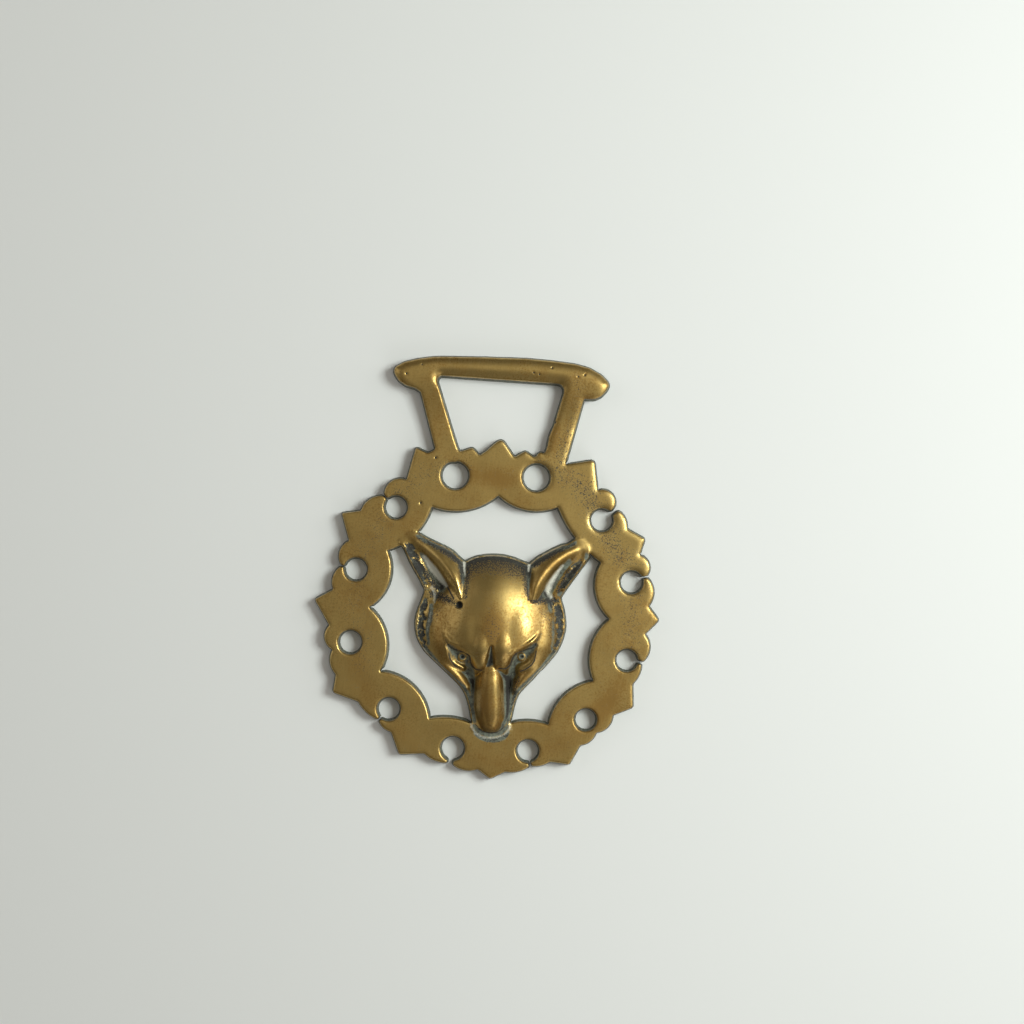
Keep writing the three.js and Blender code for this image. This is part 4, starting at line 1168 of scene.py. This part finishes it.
def make_light(name, place, side, colour, glow):
    """A square soft light aimed at the ring; glow is how bright its face is."""
    lamp = bpy.data.lights.new(name, "AREA")
    lamp.size = side
    lamp.energy = glow * math.pi * side * side
    lamp.color = colour
    made = bpy.data.objects.new(name, lamp)
    made.location = place
    towards = Vector((*(RING_CENTRE * MM), 0)) - Vector(place)
    made.rotation_euler = towards.to_track_quat("-Z", "Y").to_euler()
    bpy.context.scene.collection.objects.link(made)


def make_camera(stage):
    """Straight above, turned a little so that the brass hangs a touch clockwise."""
    lens = bpy.data.cameras.new("camera")
    lens.lens = stage.lens
    distance = stage.view_width * stage.lens / lens.sensor_width
    made = bpy.data.objects.new("camera", lens)
    ring = RING_CENTRE * MM
    made.location = (ring[0] + VIEW_OFF[0] * MM, ring[1] + VIEW_OFF[1] * MM, distance + FACE_LEVEL * MM)
    made.rotation_euler = (0, 0, stage.turn)
    bpy.context.scene.collection.objects.link(made)
    bpy.context.scene.camera = made


def make_room(scene, strength):
    world = bpy.data.worlds.new("room")
    world.use_nodes = True
    light = world.node_tree.nodes["Background"]
    link(world.node_tree, light, {"Color": (*ROOM_COLOUR, 1), "Strength": strength})
    scene.world = world
    scene.view_settings.view_transform = "Standard"


# ---- settings, operators and panel
def number(name, default, description, **settings):
    settings = {"min": 0.0, **settings}
    return bpy.props.FloatProperty(name=name, description=description, default=default, **settings)


def length(name, default, description):
    return number(name, default, description, precision=5, subtype="DISTANCE", unit="LENGTH")


def tint(name, default, description):
    return bpy.props.FloatVectorProperty(name=name, description=description, default=default, size=3, min=0.0,
                                         max=1.0, subtype="COLOR")


class BrassSizes(bpy.types.PropertyGroup):
    plate: length("Plate", 3.0 * MM, "Thickness of the ring and the legs")
    bar: length("Bar", 4.0 * MM, "Thickness of the cross bar")
    draft: length("Draft", 0.4 * MM, "How far the sides lean out towards the back")
    filing: length("Filing", 0.045 * MM, "Unevenness of the filed face")
    fur_depth: length("Fur depth", 0.26 * MM, "Depth of the ground between the fur's tufts")
    tuft: number("Tuft size", 0.85, "Size of the fur's tufts, in millimetres", min=0.1)


class BrassFinish(bpy.types.PropertyGroup):
    brass: tint("Brass", (0.52, 0.365, 0.13), "The rubbed metal")
    # the browned metal's colour, also used to paint shade
    tarnish_and_shade: tint("Tarnish and shade", (0.3, 0.175, 0.05), "The browned metal")
    patina: tint("Patina", (0.17, 0.185, 0.14), "The dull film in the hollows")
    # the black dirt's colour, also used for painted shade on the sides and the forehead
    crevice_and_shade: tint("Crevice and shade", (0.028, 0.025, 0.02), "The dirt at the bottom of the grooves")
    residue: tint("Dried polish", (0.76, 0.74, 0.63), "The pale polish left in the corners")
    dullness: number("Dullness", 0.33, "Roughness of the rubbed metal", max=1.0, subtype="FACTOR")


class StageSettings(bpy.types.PropertyGroup):
    floor_size: length("Floor size", 2.0, "Side of the square floor")
    floor_colour: tint("Floor", (0.8, 0.79, 0.77), "Colour of the floor")
    view_width: length("View width", 216.1664 * MM, "Width that the camera sees at the face of the ring")
    lens: number("Lens", 90.0, "Focal length in millimetres", min=1.0)
    turn: bpy.props.FloatProperty(name="Turn", description="The camera's turn about its own axis",
                                  default=math.radians(2.6), subtype="ANGLE")
    key_glow: number("Key", 17.0, "Brightness of the main light's face")
    ceiling_glow: number("Ceiling", 0.36, "Brightness of the broad light above")
    window_glow: number("Window", 1.5, "Brightness of the broad light beyond the hanger")
    fill_glow: number("Fill", 0.8, "Brightness of the light from the left")
    low_glow: number("Low light", 1.2, "Brightness of the light from the nose's side")
    room_light: number("Room light", 0.16, "Strength of the even light")


class BRASS_OT_casting(bpy.types.Operator):
    """Casts the brass: ring, head and hanger in one, with its chased fur and its finish"""
    bl_idname = "brass.casting"
    bl_label = "Cast the brass"

    def execute(self, context):
        sizes, finish = context.scene.brass_sizes, context.scene.brass_finish
        groups = {"tone": tone_group(), "grime_and_shade": grime_and_shade_group(), "grain": grain_group()}
        face = brass_material("worn brass", groups, finish, finish.dullness, *FACE_GRAIN, face_masks)
        duller = finish.dullness + BACK_DULLER
        back = brass_material("cast brass back", groups, finish, duller, *BACK_GRAIN, back_masks)
        casting = applied(make_casting(sizes), fur_tree(face, back), {
            "Depth": sizes.fur_depth, "Tuft Size": sizes.tuft, "Seed": TUFT_SEED})
        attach(casting, "root")
        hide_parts(NODE)
        return {"FINISHED"}


class BRASS_OT_stage(bpy.types.Operator):
    """Lays the floor and sets the lights and the camera"""
    bl_idname = "brass.stage"
    bl_label = "Set the stage"

    def execute(self, context):
        stage = context.scene.brass_stage
        make_floor(stage)
        make_camera(stage)
        for name, place, side, colour in LIGHTS:
            make_light(name, place, side, colour, getattr(stage, name + "_glow"))
        make_room(context.scene, stage.room_light)
        return {"FINISHED"}


class BRASS_PT_panel(bpy.types.Panel):
    bl_idname = "BRASS_PT_panel"
    bl_label = "Horse Brass"
    bl_space_type = "VIEW_3D"
    bl_region_type = "UI"
    bl_category = "Horse Brass"

    def draw(self, context):
        for group in (context.scene.brass_sizes, context.scene.brass_finish, context.scene.brass_stage):
            box = self.layout.box()
            for name in group.bl_rna.properties.keys():
                if name not in ("rna_type", "name"):
                    box.prop(group, name)
        self.layout.operator(BRASS_OT_casting.bl_idname)
        self.layout.operator(BRASS_OT_stage.bl_idname)


CLASSES = (BrassSizes, BrassFinish, StageSettings, BRASS_OT_casting, BRASS_OT_stage, BRASS_PT_panel)


def register():
    for made in CLASSES:
        bpy.utils.register_class(made)
    bpy.types.Scene.brass_sizes = bpy.props.PointerProperty(type=BrassSizes)
    bpy.types.Scene.brass_finish = bpy.props.PointerProperty(type=BrassFinish)
    bpy.types.Scene.brass_stage = bpy.props.PointerProperty(type=StageSettings)


def unregister():
    for name in ("brass_sizes", "brass_finish", "brass_stage"):
        delattr(bpy.types.Scene, name)
    for made in reversed(CLASSES):
        bpy.utils.unregister_class(made)


def main():
    register()
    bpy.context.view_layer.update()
    bpy.ops.brass.casting()
    bpy.ops.brass.stage()


if __name__ == "__main__":
    main()
